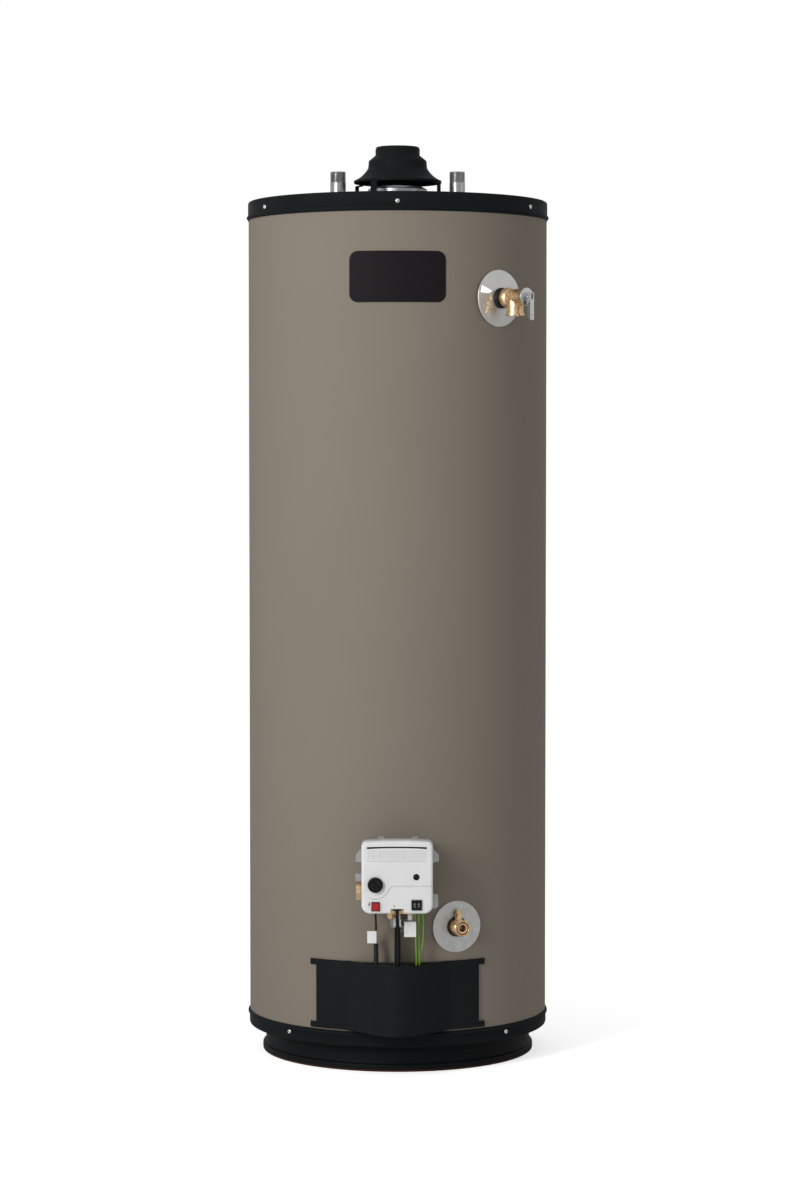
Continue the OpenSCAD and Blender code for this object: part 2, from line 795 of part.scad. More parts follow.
module badge() {
    low = jacket_r + seat_gap;
    color("#231f22")
    intersection() {
        pipe(low + 0.9, low, badge_z - badge_h, badge_z + badge_h);
        radial(0, badge_z, jacket_r)
            translate([0, 0, -foam_t])
                linear_extrude(2 * foam_t) round_rect(badge_w, badge_h, badge_corner);
    }
}

// ---------- relief valve ----------

module tp_plate() {
    color("#b4b4b1")
    at_tp() turned_sheet(
        [[grommet_r + slip, 5.4], [28, 5], [tp_plate_r - 3, 2.4], [tp_plate_r - 1, 1.9],
         [tp_plate_r, 0.9]], 0.7);
}

module tp_grommet() {
    color("#191919")
    at_tp() difference() {
        union() {
            rod(grommet_r, -8, grommet_out - 1.5);
            rod(grommet_r - 1.5, -8, grommet_out);
        }
        rod(thread_r + slip, -9, grommet_out + over);
    }
}

module tp_body() {
    thread_depth = 16;
    bulge = 11;
    neck_r = tp_outlet_r - 2.7;
    color("#c79a5e")
    at_tp() difference() {
        union() {
            rod(thread_r, -foam_t - 5, dome_at);
            // The forged swelling behind the body, turned from one arc
            rotate_extrude() intersection() {
                translate([dome_r - bulge, dome_at]) circle(r = bulge);
                translate([0, grommet_out + seat_gap]) square(2 * bulge);
            }
            rod(tp_body_r, dome_at, tp_body_l);
            // A flat pad on the body's side, for a wrench
            block(-tp_body_r - 1.2, 0, -5, 10, tp_out - 5, tp_out + 5);
            translate([0, 0, tp_out]) rotate([90, 0, 0]) {
                rod(tp_body_r, 0, tp_drop);
                rod(tp_body_r + 1.7, tp_drop - 4, tp_drop);
            }
        }
        rod(tp_inlet_bore, -foam_t - 6, tp_seat - 4);
        rod(tp_inlet_bore - 2, tp_seat - 5, tp_seat + over);
        rod(tp_chamber_r, tp_seat, tp_body_l + over);
        translate([0, 0, tp_out]) rotate([90, 0, 0]) {
            rod(tp_outlet_r, tp_drop - thread_depth, tp_drop + over);
            rod(neck_r, 0, tp_drop);
        }
    }
}

module tp_bonnet() {
    color("#c4c6c8")
    at_tp() difference() {
        union() {
            rod(tp_chamber_r - slip, tp_body_l - 8, tp_body_l + over);
            rod(tp_body_r + 1, tp_body_l + slip, tp_face - 0.6);
            translate([0, 0, tp_face - 0.6])
                cylinder(r1 = tp_body_r + 1, r2 = tp_body_r + 0.3, h = 0.6);
        }
        rod(tp_stem_r + run_gap, tp_body_l - 9, tp_face + over);
    }
}

module tp_stem() {
    disc_low = tp_seat + seat_gap;
    color("#b08a55")
    at_tp() difference() {
        union() {
            rod(tp_inlet_bore, disc_low, disc_low + 2.6);
            rod(tp_stem_r, disc_low, pin_out + 2.5);
        }
        translate([-10, 0, pin_out]) rotate([0, 90, 0]) cylinder(r = pin_r + 0.03, h = 20);
    }
}

module tp_spring() {
    low = tp_seat + seat_gap + 2.6 + spring_wire + seat_gap;
    high = tp_body_l - 8 - spring_wire - seat_gap;
    steps = 12 * spring_turns;
    route = [
        for (k = [0:steps])
            [spring_r * cos(30 * k), spring_r * sin(30 * k), low + (high - low) * k / steps]
    ];
    color("#7d8083")
    at_tp() swept(route, spring_wire, 6, [0, 0, 1]);
}

// A bent channel: a web outside, two cheeks, and a round cam off the pin at its head
module lever_cheek() {
    difference() {
        union() {
            translate([cam_throw, 0]) circle(r = cam_r);
            polygon([[cam_throw, 0], [cam_throw + cam_r, 0], [cam_throw + cam_r, lever_depth],
                     [-lever_l, lever_depth], [-lever_l, 0.75 * lever_depth], [-lever_l + 8, 0]]);
        }
        translate([0, 0]) circle(r = pin_r + run_gap);
    }
}

module tp_lever() {
    half = lever_w / 2;
    web_in = lever_depth - lever_t;
    color("#c9cacb")
    at_tp() translate([0, 0, pin_out]) {
        for (s = [-half, half - lever_t])
            translate([s, 0, 0])
                rotate([90, 0, 90])
                    linear_extrude(lever_t) lever_cheek();
        difference() {
            block(-half, half, -lever_l, cam_throw + cam_r, web_in, lever_depth);
            translate([0, 0, web_in - over]) linear_extrude(3) {
                translate([0, 0.5]) round_rect(lever_w - 4, 11, 1.5);
                translate([0, -lever_l + 8]) circle(r = 1.3);
            }
        }
    }
}

module tp_lever_pin() {
    head_r = pin_r + 0.8;
    outer = lever_w / 2 + slip;
    color("#9a9da0")
    at_tp() translate([0, 0, pin_out]) rotate([0, 90, 0]) {
        rod(pin_r, -outer - 0.5, outer + 0.5);
        for (s = [-outer - 1, outer]) rod(head_r, s, s + 1);
    }
}

module tp_probe() {
    color("#b87d4b")
    at_tp() {
        rod(5, -140, -foam_t);
        rod(tp_inlet_bore - slip, -foam_t - 4.5, -foam_t);
    }
}

// ---------- drain valve ----------

module drain_plate() {
    color("#a0a09e")
    at_drain() difference() {
        union() {
            rod(drain_plate_r - 0.6, seat_gap, 1.2);
            rod(drain_plate_r, seat_gap, 0.9);
        }
        rod(drain_hole_r, -over, 3);
    }
}

module drain_body() {
    hose_end = hose_start + hose_l;
    color("#b98a50")
    at_drain() difference() {
        union() {
            rod(thread_r, -foam_t - 5, -5);
            rod(hose_r - 1.5, -6, hose_start);
            rod(hose_r, hose_start, hose_end - 1);
            translate([0, 0, hose_end - 1]) cylinder(r1 = hose_r, r2 = hose_r - 1, h = 1);
            translate([0, 0, ball_out]) rotate([-90, 0, 0]) rod(boss_r, 0, boss_top);
        }
        rod(drain_bore, -foam_t - 6, hose_end + over);
        rod(hose_r - 3, hose_end - 1.2, hose_end + over);
        translate([0, 0, ball_out]) {
            sphere(r = ball_r + slip);
            rotate([-90, 0, 0]) rod(drain_stem_r + run_gap, 0, boss_top + over);
        }
    }
}

module drain_stem() {
    head_top = boss_top + 6;
    color("#c29458")
    at_drain() translate([0, 0, ball_out]) rotate([-90, 0, 0]) difference() {
        union() {
            rod(drain_stem_r, ball_r - 0.7, boss_top + seat_gap);
            rod(boss_r - 1.2, boss_top + seat_gap, head_top);
        }
        block(-10, 10, -0.8, 0.8, head_top - 2.5, head_top + over);
    }
}

module drain_ball() {
    color("#c8ccd0")
    at_drain() translate([0, 0, ball_out]) difference() {
        sphere(r = ball_r);
        rotate([0, 90, 0]) rod(drain_bore - 1, -ball_r - over, ball_r + over);
        rotate([-90, 0, 0]) rod(ball_r, ball_r - 0.9, ball_r + over);
    }
}

// ---------- gas control ----------

module cover_block(inset, back, face) {
    bevels = [[0, back], [0, face - 3.2], [1, face - 1], [3, face]];
    w = cover_w / 2;
    h = cover_h / 2;
    crown = 1.2;
    translate([cover_x, cover_y, 0])
        hull()
            for (b = bevels) {
                m = inset + b[0];
                translate([0, 0, b[1] - 0.02]) linear_extrude(0.02) {
                    for (s = [-1, 1]) {
                        translate([s * (w - 8.6), h - crown - 8.6])
                            circle(r = 8.6 - m, $fn = hull_fn);
                        translate([s * 20, h - 8.6]) circle(r = 8.6 - m, $fn = hull_fn);
                        translate([s * (w - 13.4), 13.4 - h])
                            circle(r = 13.4 - m, $fn = hull_fn);
                    }
                }
            }
}

// The upper panel: everything above the swoosh line, a lobe round the knob,
// and a concave fillet between the two
module swoosh(inset = 0) {
    line = swoosh_y + inset;
    lobe = lobe_r - inset;
    fillet = swoosh_fillet + inset;
    dy = knob_at[1] - (line - fillet);
    fillet_x = knob_at[0] + sqrt(pow(lobe + fillet, 2) - dy * dy);
    translate([-cover_w, line]) square([2 * cover_w, cover_h]);
    translate(knob_at) circle(r = lobe);
    difference() {
        polygon([knob_at, [fillet_x, line + 0.5], [fillet_x, line - fillet]]);
        translate([fillet_x, line - fillet]) circle(r = fillet);
    }
}

module gas_valve_cover() {
    bottom = cover_y - cover_h / 2;
    color("#e6e6e4")
    at_gas() difference() {
        union() {
            cover_block(0, cover_back, lower_face);
            intersection() {
                cover_block(0, cover_back, cover_out);
                linear_extrude(cover_out + over) swoosh();
            }
        }
        cover_block(cover_wall, cover_back - over, lower_face - cover_wall);
        intersection() {
            cover_block(cover_wall, cover_back - over, cover_out - cover_wall);
            linear_extrude(cover_out) swoosh(cover_wall);
        }
        translate(knob_at) rod(knob_r + 0.35, cover_back, cover_out + over);
        translate(light_at) rod(light_r + 0.1, cover_back, cover_out + over);
        translate([button_at[0], button_at[1], cover_back])
            linear_extrude(cover_out) square([button_w + 2.3, button_h + 2.3], center = true);
        translate([plug_at[0], plug_at[1], cover_back])
            linear_extrude(cover_out) square([plug_size + 0.5, plug_size + 0.5], center = true);
        // The notch through which the thermopile lead leaves
        block(-11.6, 10.2, bottom - over, bottom + 8, 52, cover_out + over);
        // Slots in the bottom wall for the ignition wire and the green wires
        block(-40, -31, bottom - over, bottom + 3, 56, 66);
        block(26, 44, bottom - over, bottom + 3, 58, 66);
    }
}

module gas_valve_body() {
    w = cover_w - 2;
    h = cover_h - 2;
    color("#8f9193")
    at_gas() difference() {
        union() {
            translate([cover_x, cover_y, plate_out]) linear_extrude(plate_t) {
                round_rect(w, h, 8);
                // Upper ears, left tab, lower right tab and two top tabs
                for (s = [-1, 1]) polygon([[s * (w / 2 - 4), 44], [s * (w / 2 + 3), 41],
                    [s * 67.5, 32], [s * 67.5, 21], [s * (w / 2 - 4), 18]]);
                translate([-62, -4.8]) square([12, 12], center = true);
                polygon([[50, -30], [66, -33], [67, -52], [62, -56], [50, -56]]);
                for (x = [-26.5, 28.5]) translate([x, h / 2]) square([10, 7], center = true);
            }
            translate([cover_x, cover_y, slab_back])
                linear_extrude(plate_out - slab_back) round_rect(slab_w, slab_h, 6);
            block(-core_w / 2, core_w / 2, -34, 40, plate_out, core_front);
            rod(stand_r, 2, slab_back);
            rod(shank_r, -foam_t - 7, 2);
            translate([-cover_w / 2 - 2, inlet_y, inlet_out]) rotate([0, 90, 0]) rod(15, 0, 20);
        }
        translate([knob_at[0], knob_at[1], 0])
            rod(shaft_r + run_gap, core_front - 28, core_front + over);
        translate([-cover_w, inlet_y, inlet_out]) rotate([0, 90, 0]) rod(11.7, 0, cover_w - 40);
    }
}

module gas_knob() {
    color("#1b1d1e")
    at_gas() translate([knob_at[0], knob_at[1], 0]) difference() {
        union() {
            rod(knob_r, knob_back, knob_back + knob_depth - 2);
            translate([0, 0, knob_back + knob_depth - 2])
                cylinder(r1 = knob_r, r2 = knob_r - 1, h = 1);
            intersection() {
                rotate([0, 0, knob_angle])
                    block(-knob_r, knob_r, -2, 2, knob_back, knob_back + knob_depth + 1);
                rod(knob_r - 1.2, knob_back, knob_back + knob_depth + 1);
            }
        }
        difference() {
            rod(knob_r - 2, knob_back + knob_depth - 2, knob_back + knob_depth + over);
            rotate([0, 0, knob_angle])
                block(-knob_r, knob_r, -2, 2, knob_back, knob_back + knob_depth + 2);
        }
        rod(shaft_r + run_gap, knob_back - over, knob_back + 9);
    }
}

module knob_shaft() {
    color("#9a9c9e")
    at_gas() translate([knob_at[0], knob_at[1], 0])
        rod(shaft_r, core_front - 28 + knob_push + 1.5, knob_back + 8.5);
}

module status_light() {
    color("#15181a")
    at_gas() translate([light_at[0], light_at[1], 0]) {
        rod(light_r + 1.4, lower_face - cover_wall - 4.3, lower_face - cover_wall - seat_gap);
        rod(light_r, lower_face - cover_wall - 4.3, cover_out + 0.6);
    }
}

module igniter_housing() {
    floor_out = lower_face - 23;
    color("#121314")
    at_gas() translate([button_at[0], button_at[1], 0]) difference() {
        union() {
            translate([0, 0, floor_out]) linear_extrude(lower_face + over - floor_out)
                square([button_w + 2, button_h + 2], center = true);
            translate([0, 0, lower_face + slip]) linear_extrude(1.3)
                square([button_w + 2 * bezel_rim, button_h + 2 * bezel_rim], center = true);
        }
        translate([0, 0, floor_out + 2]) linear_extrude(30)
            square([button_w + 2 * slide_gap, button_h + 2 * slide_gap], center = true);
    }
}

module igniter_button() {
    back = lower_face - 20.5 + button_push;
    color("#c4161c")
    at_gas() translate([button_at[0], button_at[1], back])
        linear_extrude(cover_out + 3 - back) round_rect(button_w, button_h, 0.6);
}

module sensor_connector() {
    back = lower_face - 20;
    color("#17191a")
    at_gas() translate([plug_at[0], plug_at[1], back]) difference() {
        linear_extrude(lower_face + 2.5 - back) square([plug_size, plug_size], center = true);
        for (s = [-1, 1]) translate([s * 3.4, 0, lower_face - 5 - back])
            linear_extrude(10) round_rect(4.4, 7.5, 1);
    }
}

module gas_inlet() {
    face = -cover_w / 2 - 2 - slip;
    color("#c79a5e")
    at_gas() translate([face, inlet_y, inlet_out]) rotate([0, -90, 0]) difference() {
        union() {
            hex_bar(inlet_af, 0, inlet_l);
            rod(11.5, -14, over);
        }
        rod(inlet_r, -6, inlet_l + over);
        rod(inlet_r - 2, -15, 0);
    }
}

module outlet_fittings() {
    color("#c79a5e")
    at_gas() {
        block(block_x[0], block_x[1], block_bottom, block_bottom + block_h, 14, 33);
        translate([main_out_x, block_bottom, main_out]) rotate([90, 0, 0])
            hex_bar(neck_af, -over, neck_h);
        translate([pilot_out_x, block_bottom, pilot_out]) rotate([90, 0, 0])
            hex_bar(pilot_nut_af, -over, neck_h - 1);
        // The plug of the pressure tapping
        translate([plug_x, block_bottom, plug_out]) rotate([90, 0, 0]) union() {
            hex_bar(plug_af, -over, plug_h - 2);
            rod(plug_af / 2 - 1, 0, plug_h);
        }
    }
}

module flare_nuts() {
    color("#b9bbbd")
    at_gas() {
        translate([main_out_x, block_bottom - neck_h - slip, main_out]) rotate([90, 0, 0]) difference() {
            union() {
                rod(nut_sleeve_r, 0, nut_sleeve_h);
                hex_bar(nut_af, nut_sleeve_h, nut_sleeve_h + nut_h);
            }
            rod(manifold_r + seat_gap, -over, nut_sleeve_h + nut_h + over);
        }
        translate([pilot_out_x, block_bottom - neck_h + 1 - slip, pilot_out]) rotate([90, 0, 0])
            difference() {
                hex_bar(pilot_nut_af, 0, pilot_nut_h);
                rod(pilot_tube_r + seat_gap, -over, pilot_nut_h + over);
            }
    }
}

module manifold_tube() {
    end = manifold_route[len(manifold_route) - 1];
    color("#c3c5c7")
    union() {
        swept(manifold_route, manifold_r, 12);
        translate([0, 0, end[2]]) rod(manifold_r + 1.6, -manifold_r - 1, 6);
    }
}

module pilot_tube() {
    color("#9c9ea0") swept(pilot_route, pilot_tube_r, 10);
}

module thermostat_probe() {
    start = -foam_t - 7 - slip;
    color("#a7a9ab")
    at_gas() {
        rod(5.5, start - probe_l, start);
        translate([0, 0, start - probe_l]) sphere(r = 5.5);
    }
}

// ---------- leads ----------

module ignition_wire() {
    color("#1b1c1d") swept(ignition_route, ignition_r);
}

module ignition_sleeve() {
    p = ignition_route[9];
    color("#151617")
    translate([p[0], p[1], 0]) pipe(sleeve_r, ignition_r + seat_gap, sleeve_low, sleeve_top);
}

module wire_tags() {
    wire = ignition_route[8];
    green = green_routes[0][5];
    color("#efefed") {
        block(wire[0] - 14.4, wire[0] + 0.8, wire[1] - ignition_r - 0.9,
              wire[1] - ignition_r - seat_gap, 222, 242);
        block(green[0] - 18.6, green[0] + 0.9, green[1] - green_r - 2.1,
              green[1] - green_r - 1.5, 234, 259);
    }
}

module thermopile_lead() {
    start = thermopile_route[0];
    color("#17191a")
    union() {
        swept(thermopile_route, lead_r);
        block(start[0] - 7, start[0] + 7, start[1] - 5, start[1] + 5, 281.5, 290);
    }
}

module lead_conduit() {
    p = thermopile_route[7];
    bore = lead_r + 0.7;
    valley = conduit_r - 0.9;
    ribs = floor((conduit_top - conduit_low) / rib_pitch);
    outline = [
        for (k = [0:ribs - 1]) each [
            [valley, conduit_low + k * rib_pitch],
            [conduit_r, conduit_low + (k + 0.25) * rib_pitch],
            [conduit_r, conduit_low + (k + 0.6) * rib_pitch],
            [valley, conduit_low + (k + 0.85) * rib_pitch]
        ]
    ];
    top = conduit_low + ribs * rib_pitch;
    color("#1a1c1d")
    translate([p[0], p[1], 0]) difference() {
        rotate_extrude()
            polygon(concat([[bore, conduit_low]], outline, [[valley, top], [bore, top]]));
        // The split in front, through which the lead is seen
        block(-bore + 0.7, bore - 0.7, -2 * conduit_r, 0, conduit_low - over, top + over);
    }
}

module green_wires() {
    color("#5f9e2b")
    for (route = green_routes) swept(route, green_r, 6);
}

// ---------- outer door ----------

// Distance of the door from the axis plane at one side position: a raised cosine
// from the shoulder to the nose, whose height grows towards the door's lower edge,
// and never closer to the jacket than the flanges at the door's sides
function nose_at(z) =
    jacket_r + nose_low_out + (nose_top_out - nose_low_out) * (z - door_z) / door_h;
function wave(x, z) =
    let (s = chord(shoulder_r, door_half))
    s + (nose_at(z) - s) * (1 + cos(180 * abs(x) / door_half)) / 2;
function door_y(x, z) = -max(wave(x, z), chord(shoulder_r, x));
function door_back(x, z) =
    let (slope = wave(x + 0.5, z) - wave(x - 0.5, z))
    -max(wave(x, z) - door_wall * sqrt(1 + slope * slope), chord(door_seat_r, x));

module outer_door() {
    nose_steps = 40;
    side_steps = 4;
    edge = asin(door_half / shoulder_r);
    xs = [for (k = [0:nose_steps]) door_half * (2 * k / nose_steps - 1)];
    side = [for (k = [1:side_steps]) edge + (door_edge + ear_deg - edge) * k / side_steps];
    flank = function (r, z, s) [for (a = side) [s * r * sin(a), -r * cos(a), z]];
    flip = function (p) [for (k = [len(p) - 1:-1:0]) p[k]];
    front = function (z) concat(
        flip(flank(shoulder_r, z, -1)), [for (x = xs) [x, door_y(x, z), z]], flank(shoulder_r, z, 1)
    );
    back = function (z) concat(
        flip(flank(door_seat_r, z, -1)), [for (x = xs) [x, door_back(x, z), z]],
        flank(door_seat_r, z, 1)
    );
    loop = function (z) concat(front(z), flip(back(z)));
    points = concat(loop(door_z), loop(door_z + door_h));
    n = len(points) / 2;
    walls = [
        for (i = [0:n - 1]) each [
            [i, n + i, (i + 1) % n],
            [(i + 1) % n, n + i, n + (i + 1) % n]
        ]
    ];
    ends = [
        for (k = [0:n / 2 - 2]) each [
            [k, k + 1, n - 2 - k, n - 1 - k],
            [n + k + 1, n + k, 2 * n - 1 - k, 2 * n - 2 - k]
        ]
    ];
    color("#202425")
    difference() {
        polyhedron(points, concat(walls, ends), convexity = 6);
        // Between the ears at the door's four corners its side edges are cut back
        for (s = [-1, 1])
            rotate([0, 0, s * door_edge])
                block(s > 0 ? 0 : -40, s > 0 ? 40 : 0, -shoulder_r - 9, -jacket_r + 30,
                      door_z + ear_h, door_z + door_h - ear_h);
    }
}

// ---------- burner and its access ----------

module curved_plate(r, t) {
    intersection() {
        pipe(r + t, r, access_low, access_high);
        block(-access_half, access_half, -r - t - over, 0, 0, access_high + over);
    }
}

module access_screw_places() {
    for (a = [-1, 1], z = [access_low + access_screw_in, access_high - access_screw_in])
        radial(a * access_screw_deg, z, access_r + access_t) children();
}

module access_plate() {
    color("#6d7073")
    difference() {
        curved_plate(access_r, access_t);
        access_screw_places() rod(2.2, -6, 3);
        radial(0, manifold_route[9][2], access_r)
            translate([manifold_route[9][0], 0, 0]) rod(manifold_r + 0.6, -9, 9);
        radial(0, pilot_route[14][2], access_r)
            translate([pilot_route[14][0] + 0.3, -0.6, 0]) rod(pilot_tube_r + 1, -9, 9);
        radial(0, ignition_route[17][2], access_r)
            translate([ignition_route[17][0], 0, 0]) rod(ignition_r + 0.8, -9, 9);
        radial(0, thermopile_route[14][2], access_r)
            translate([thermopile_route[14][0], 0, 0]) rod(lead_r + 0.6, -9, 9);
        radial(0, 150, access_r) translate([30, 0, 0]) rod(3.4, -9, 9);
        radial(-11, 150, access_r) rod(8, -6, 6);
    }
}

module access_gasket() {
    color("#b9b3a2")
    difference() {
        curved_plate(tank_r + seat_gap, gasket_t);
        block(-window_half, window_half, -jacket_r, 0, window_low, window_high);
        access_screw_places() rod(2.2, -9, 3);
    }
}

module access_screws() {
    color("#8c8f92")
    access_screw_places() {
        hex_bar(8, 0.1, 4);
        rod(2, -9, 0.5);
    }
}

module sight_glass() {
    color("#a8c4cc")
    radial(-11, 150, access_r + access_t) rod(10.5, seat_gap, 2.6);
}

module burner_head() {
    low = 114;
    bell_r = 20;
    color("#8e9092")
    union() {
        difference() {
            rotate_extrude() intersection() {
                polygon(sheet(
                    [[-1, low + 26], [burner_r - 14, low + 24], [burner_r - 3, low + 19],
                     [burner_r, low + 12], [burner_r - 4, low + 3], [burner_r - 12, low],
                     [bell_r + 2, low], [bell_r - 4, low - 5], [bell_r - 2, low - 10]], 1.2));
                square([burner_r, 200]);
            }
            for (a = [0:15:345]) radial(a, low + 16, burner_r) rod(1.8, -8, 3);
        }
        block(-6, 36, -chord(access_r, 36) + seat_gap, -bell_r - 10, low - 2, low);
    }
}

module pilot_assembly() {
    shelf = 116;
    plate_t = 2;
    hood_y = 9;
    color("#97999b")
    translate([0, pilot_route[len(pilot_route) - 1][1] + 3, 0]) union() {
        block(0, 34, 0, plate_t, shelf - 2, shelf + 26);
        block(0, 34, 0, 18, shelf - 1.8, shelf);
        translate([26, hood_y + 1, 0]) rod(5, shelf, shelf + 16);
        translate([8, hood_y + 1, 0]) rod(2.2, shelf, shelf + 30);
        translate([17, hood_y + 1, 0]) rod(3, shelf, shelf + 24);
    }
}

module flame_arrestor() {
    skirt_in = tank_in - seat_gap;
    color("#7a7c7e")
    difference() {
        union() {
            rod(skirt_in, 58, 60);
            rod(80, 60, 72);
        }
        for (a = [0:30:330]) rotate([0, 0, a]) translate([50, 0, 0]) rod(7, 57, 73);
    }
}

jacket();
top_pan();
bottom_pan();
base_ring();
top_pan_screws();
bottom_pan_screws();
foam_insulation();
skirt_insulation();
tank_shell();
flue_tube();
flue_baffle();
cold_nipple();
hot_nipple();
dip_tube();
anode_rod();
anode_cap();
draft_hood();
hood_legs();
badge();
tp_plate();
tp_grommet();
tp_body();
tp_bonnet();
tp_stem();
tp_spring();
tp_lever();
tp_lever_pin();
tp_probe();
drain_plate();
drain_body();
drain_stem();
drain_ball();
gas_valve_body();
gas_valve_cover();
gas_knob();
knob_shaft();
status_light();
igniter_button();
igniter_housing();
sensor_connector();
gas_inlet();
outlet_fittings();
flare_nuts();
manifold_tube();
pilot_tube();
thermostat_probe();
ignition_wire();
ignition_sleeve();
wire_tags();
thermopile_lead();
lead_conduit();
green_wires();
outer_door();
access_plate();
access_gasket();
access_screws();
sight_glass();
burner_head();
pilot_assembly();
flame_arrestor();
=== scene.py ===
"""Looks of a gas-fired storage water heater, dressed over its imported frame.

Every length that describes the product is in millimetres and is turned to metres by MM
where the geometry is made. Places come from the frame's own nodes, or are the numbers of
the part's source.
"""

import json
import math

import bmesh
import bpy
import numpy as np
from bpy.props import FloatProperty, FloatVectorProperty, PointerProperty
from mathutils import Matrix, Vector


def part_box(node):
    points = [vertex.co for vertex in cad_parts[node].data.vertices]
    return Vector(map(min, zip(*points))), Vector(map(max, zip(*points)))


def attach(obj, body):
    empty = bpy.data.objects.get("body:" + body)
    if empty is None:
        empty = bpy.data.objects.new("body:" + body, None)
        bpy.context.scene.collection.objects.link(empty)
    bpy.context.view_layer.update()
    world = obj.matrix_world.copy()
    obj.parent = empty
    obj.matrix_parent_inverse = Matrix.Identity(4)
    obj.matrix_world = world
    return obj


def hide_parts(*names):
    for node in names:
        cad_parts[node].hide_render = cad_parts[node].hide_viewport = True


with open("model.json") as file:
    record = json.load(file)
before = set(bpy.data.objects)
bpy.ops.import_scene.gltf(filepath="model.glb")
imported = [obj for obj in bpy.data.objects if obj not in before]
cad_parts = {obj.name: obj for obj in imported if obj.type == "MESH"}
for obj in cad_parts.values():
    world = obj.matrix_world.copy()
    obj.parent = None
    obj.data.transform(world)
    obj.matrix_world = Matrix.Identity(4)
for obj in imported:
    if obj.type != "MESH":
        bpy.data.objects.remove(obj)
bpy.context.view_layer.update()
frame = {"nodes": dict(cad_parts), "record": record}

bl_info = {
    "name": "Tank water heater",
    "version": (1, 0, 0),
    "blender": (4, 5, 0),
    "location": "View3D > Sidebar > Water heater",
    "description": "Builds the visible pieces of a gas-fired storage water heater",
    "category": "Object",
}

MM = 0.001
RECORD = frame["record"]
BODY_OF = {node: body for body, nodes in RECORD["behaviour"]["bodies"].items() for node in nodes}
SLOT_OF = {part["node"]: part["material_slot"] for part in RECORD["subparts"]}


# ---- colour and shader helpers ----


def linear(code):
    """Linear colour of an sRGB hex code, with full opacity."""
    parts = [int(code[i : i + 2], 16) / 255 for i in (1, 3, 5)]
    return [p / 12.92 if p <= 0.04045 else ((p + 0.055) / 1.055) ** 2.4 for p in parts] + [1.0]


def add(tree, kind, sockets=None, **settings):
    """Add a shader node. A socket's entry is a value or the output that feeds it."""
    made = tree.nodes.new("ShaderNode" + kind)
    for name, value in settings.items():
        setattr(made, name, value)
    for name, value in (sockets or {}).items():
        if isinstance(value, bpy.types.NodeSocket):
            tree.links.new(value, made.inputs[name])
        else:
            made.inputs[name].default_value = value
    return made


def begin(plain):
    """A new material: itself, its tree, its shader with plain sockets, Object coordinates."""
    material = bpy.data.materials.new("finish")
    material.use_nodes = True
    tree = material.node_tree
    shader = tree.nodes["Principled BSDF"]
    for socket, value in plain.items():
        shader.inputs[socket].default_value = value
    return material, tree, shader, add(tree, "TexCoord").outputs["Object"]


def noise(tree, place, size, detail=3.0):
    """Noise whose blotches are about `size` millimetres."""
    sockets = {"Vector": place, "Scale": 1 / (size * MM), "Detail": detail}
    return add(tree, "TexNoise", sockets).outputs["Fac"]


def between(tree, value, low, high, start=0.3, end=0.7):
    """A value that runs from low to high while its driver runs from start to end."""
    span = {"From Min": start, "From Max": end, "To Min": low, "To Max": high}
    return add(tree, "MapRange", {"Value": value, **span}).outputs["Result"]


def blend(tree, factor, a, b):
    """Colour a where the factor is 0 and colour b where it is 1."""
    return add(tree, "Mix", {0: factor, 6: a, 7: b}, data_type="RGBA").outputs[2]


def maths(tree, operation, a, b):
    """One arithmetic step between two values."""
    return add(tree, "Math", {0: a, 1: b}, operation=operation).outputs[0]


def finish(dark, light, blotch, rough, bump=None, stretch=None, plain=None):
    """A finish of two near colours in blotches, with roughness that follows them and a bump.

    blotch is in millimetres, rough is (low, high) and bump is (size, depth) in millimetres.
    """
    material, tree, shader, place = begin(plain or {})
    if stretch:
        place = add(tree, "Mapping", {"Vector": place, "Scale": stretch}).outputs["Vector"]
    cloud = noise(tree, place, blotch)
    colour = blend(tree, between(tree, cloud, 0, 1), linear(dark), linear(light))
    tree.links.new(colour, shader.inputs["Base Color"])
    tree.links.new(between(tree, cloud, *rough), shader.inputs["Roughness"])
    if bump:
        grain = noise(tree, place, bump[0], 2.0)
        relief = add(tree, "Bump", {"Strength": 1.0, "Distance": bump[1] * MM, "Height": grain})
        tree.links.new(relief.outputs["Normal"], shader.inputs["Normal"])
    return material


# ---- finishes ----

METAL = {"Metallic": 1.0}
FINISHES = {}


def look(maker):
    """Keep a finish under its own name, which is its material slot's where it has one."""
    FINISHES[maker.__name__] = maker
    return maker


def gloss(level):
    """The plain socket of a finish that shines less than its kind."""
    return {"Specular IOR Level": level}


@look
def taupe_paint():
    """Baked satin enamel: even warm taupe with a faint orange peel."""
    return finish("#80786d", "#827a6f", 260, (0.58, 0.66), (2.6, 0.012), plain=gloss(0.04))


@look
def black_paint():
    """Satin black enamel with a cool cast, a little uneven in gloss."""
    return finish("#191c1d", "#1c1f20", 60, (0.5, 0.6), (2.2, 0.012), plain=gloss(0.04))


@look
def black_moulding():
    """Black sheet pans and plugs: satin, finely grained."""
    return finish("#181b1c", "#1b1e1f", 40, (0.5, 0.62), (0.9, 0.01), plain=gloss(0.03))


@look
def black_base():
    """Matt black foot, with a reddish brown line along its lowest few millimetres."""
    material, tree, shader, place = begin(gloss(0.08))
    height = add(tree, "SeparateXYZ", {"Vector": place}).outputs["Z"]
    grain = noise(tree, place, 14)
    low_edge = between(tree, height, 1, 0, 2.2 * MM, 4.5 * MM)
    black = blend(tree, between(tree, grain, 0, 1), linear("#101213"), linear("#141617"))
    colour = blend(tree, low_edge, black, linear("#4a2a20"))
    tree.links.new(colour, shader.inputs["Base Color"])
    tree.links.new(between(tree, grain, 0.5, 0.62), shader.inputs["Roughness"])
    return material


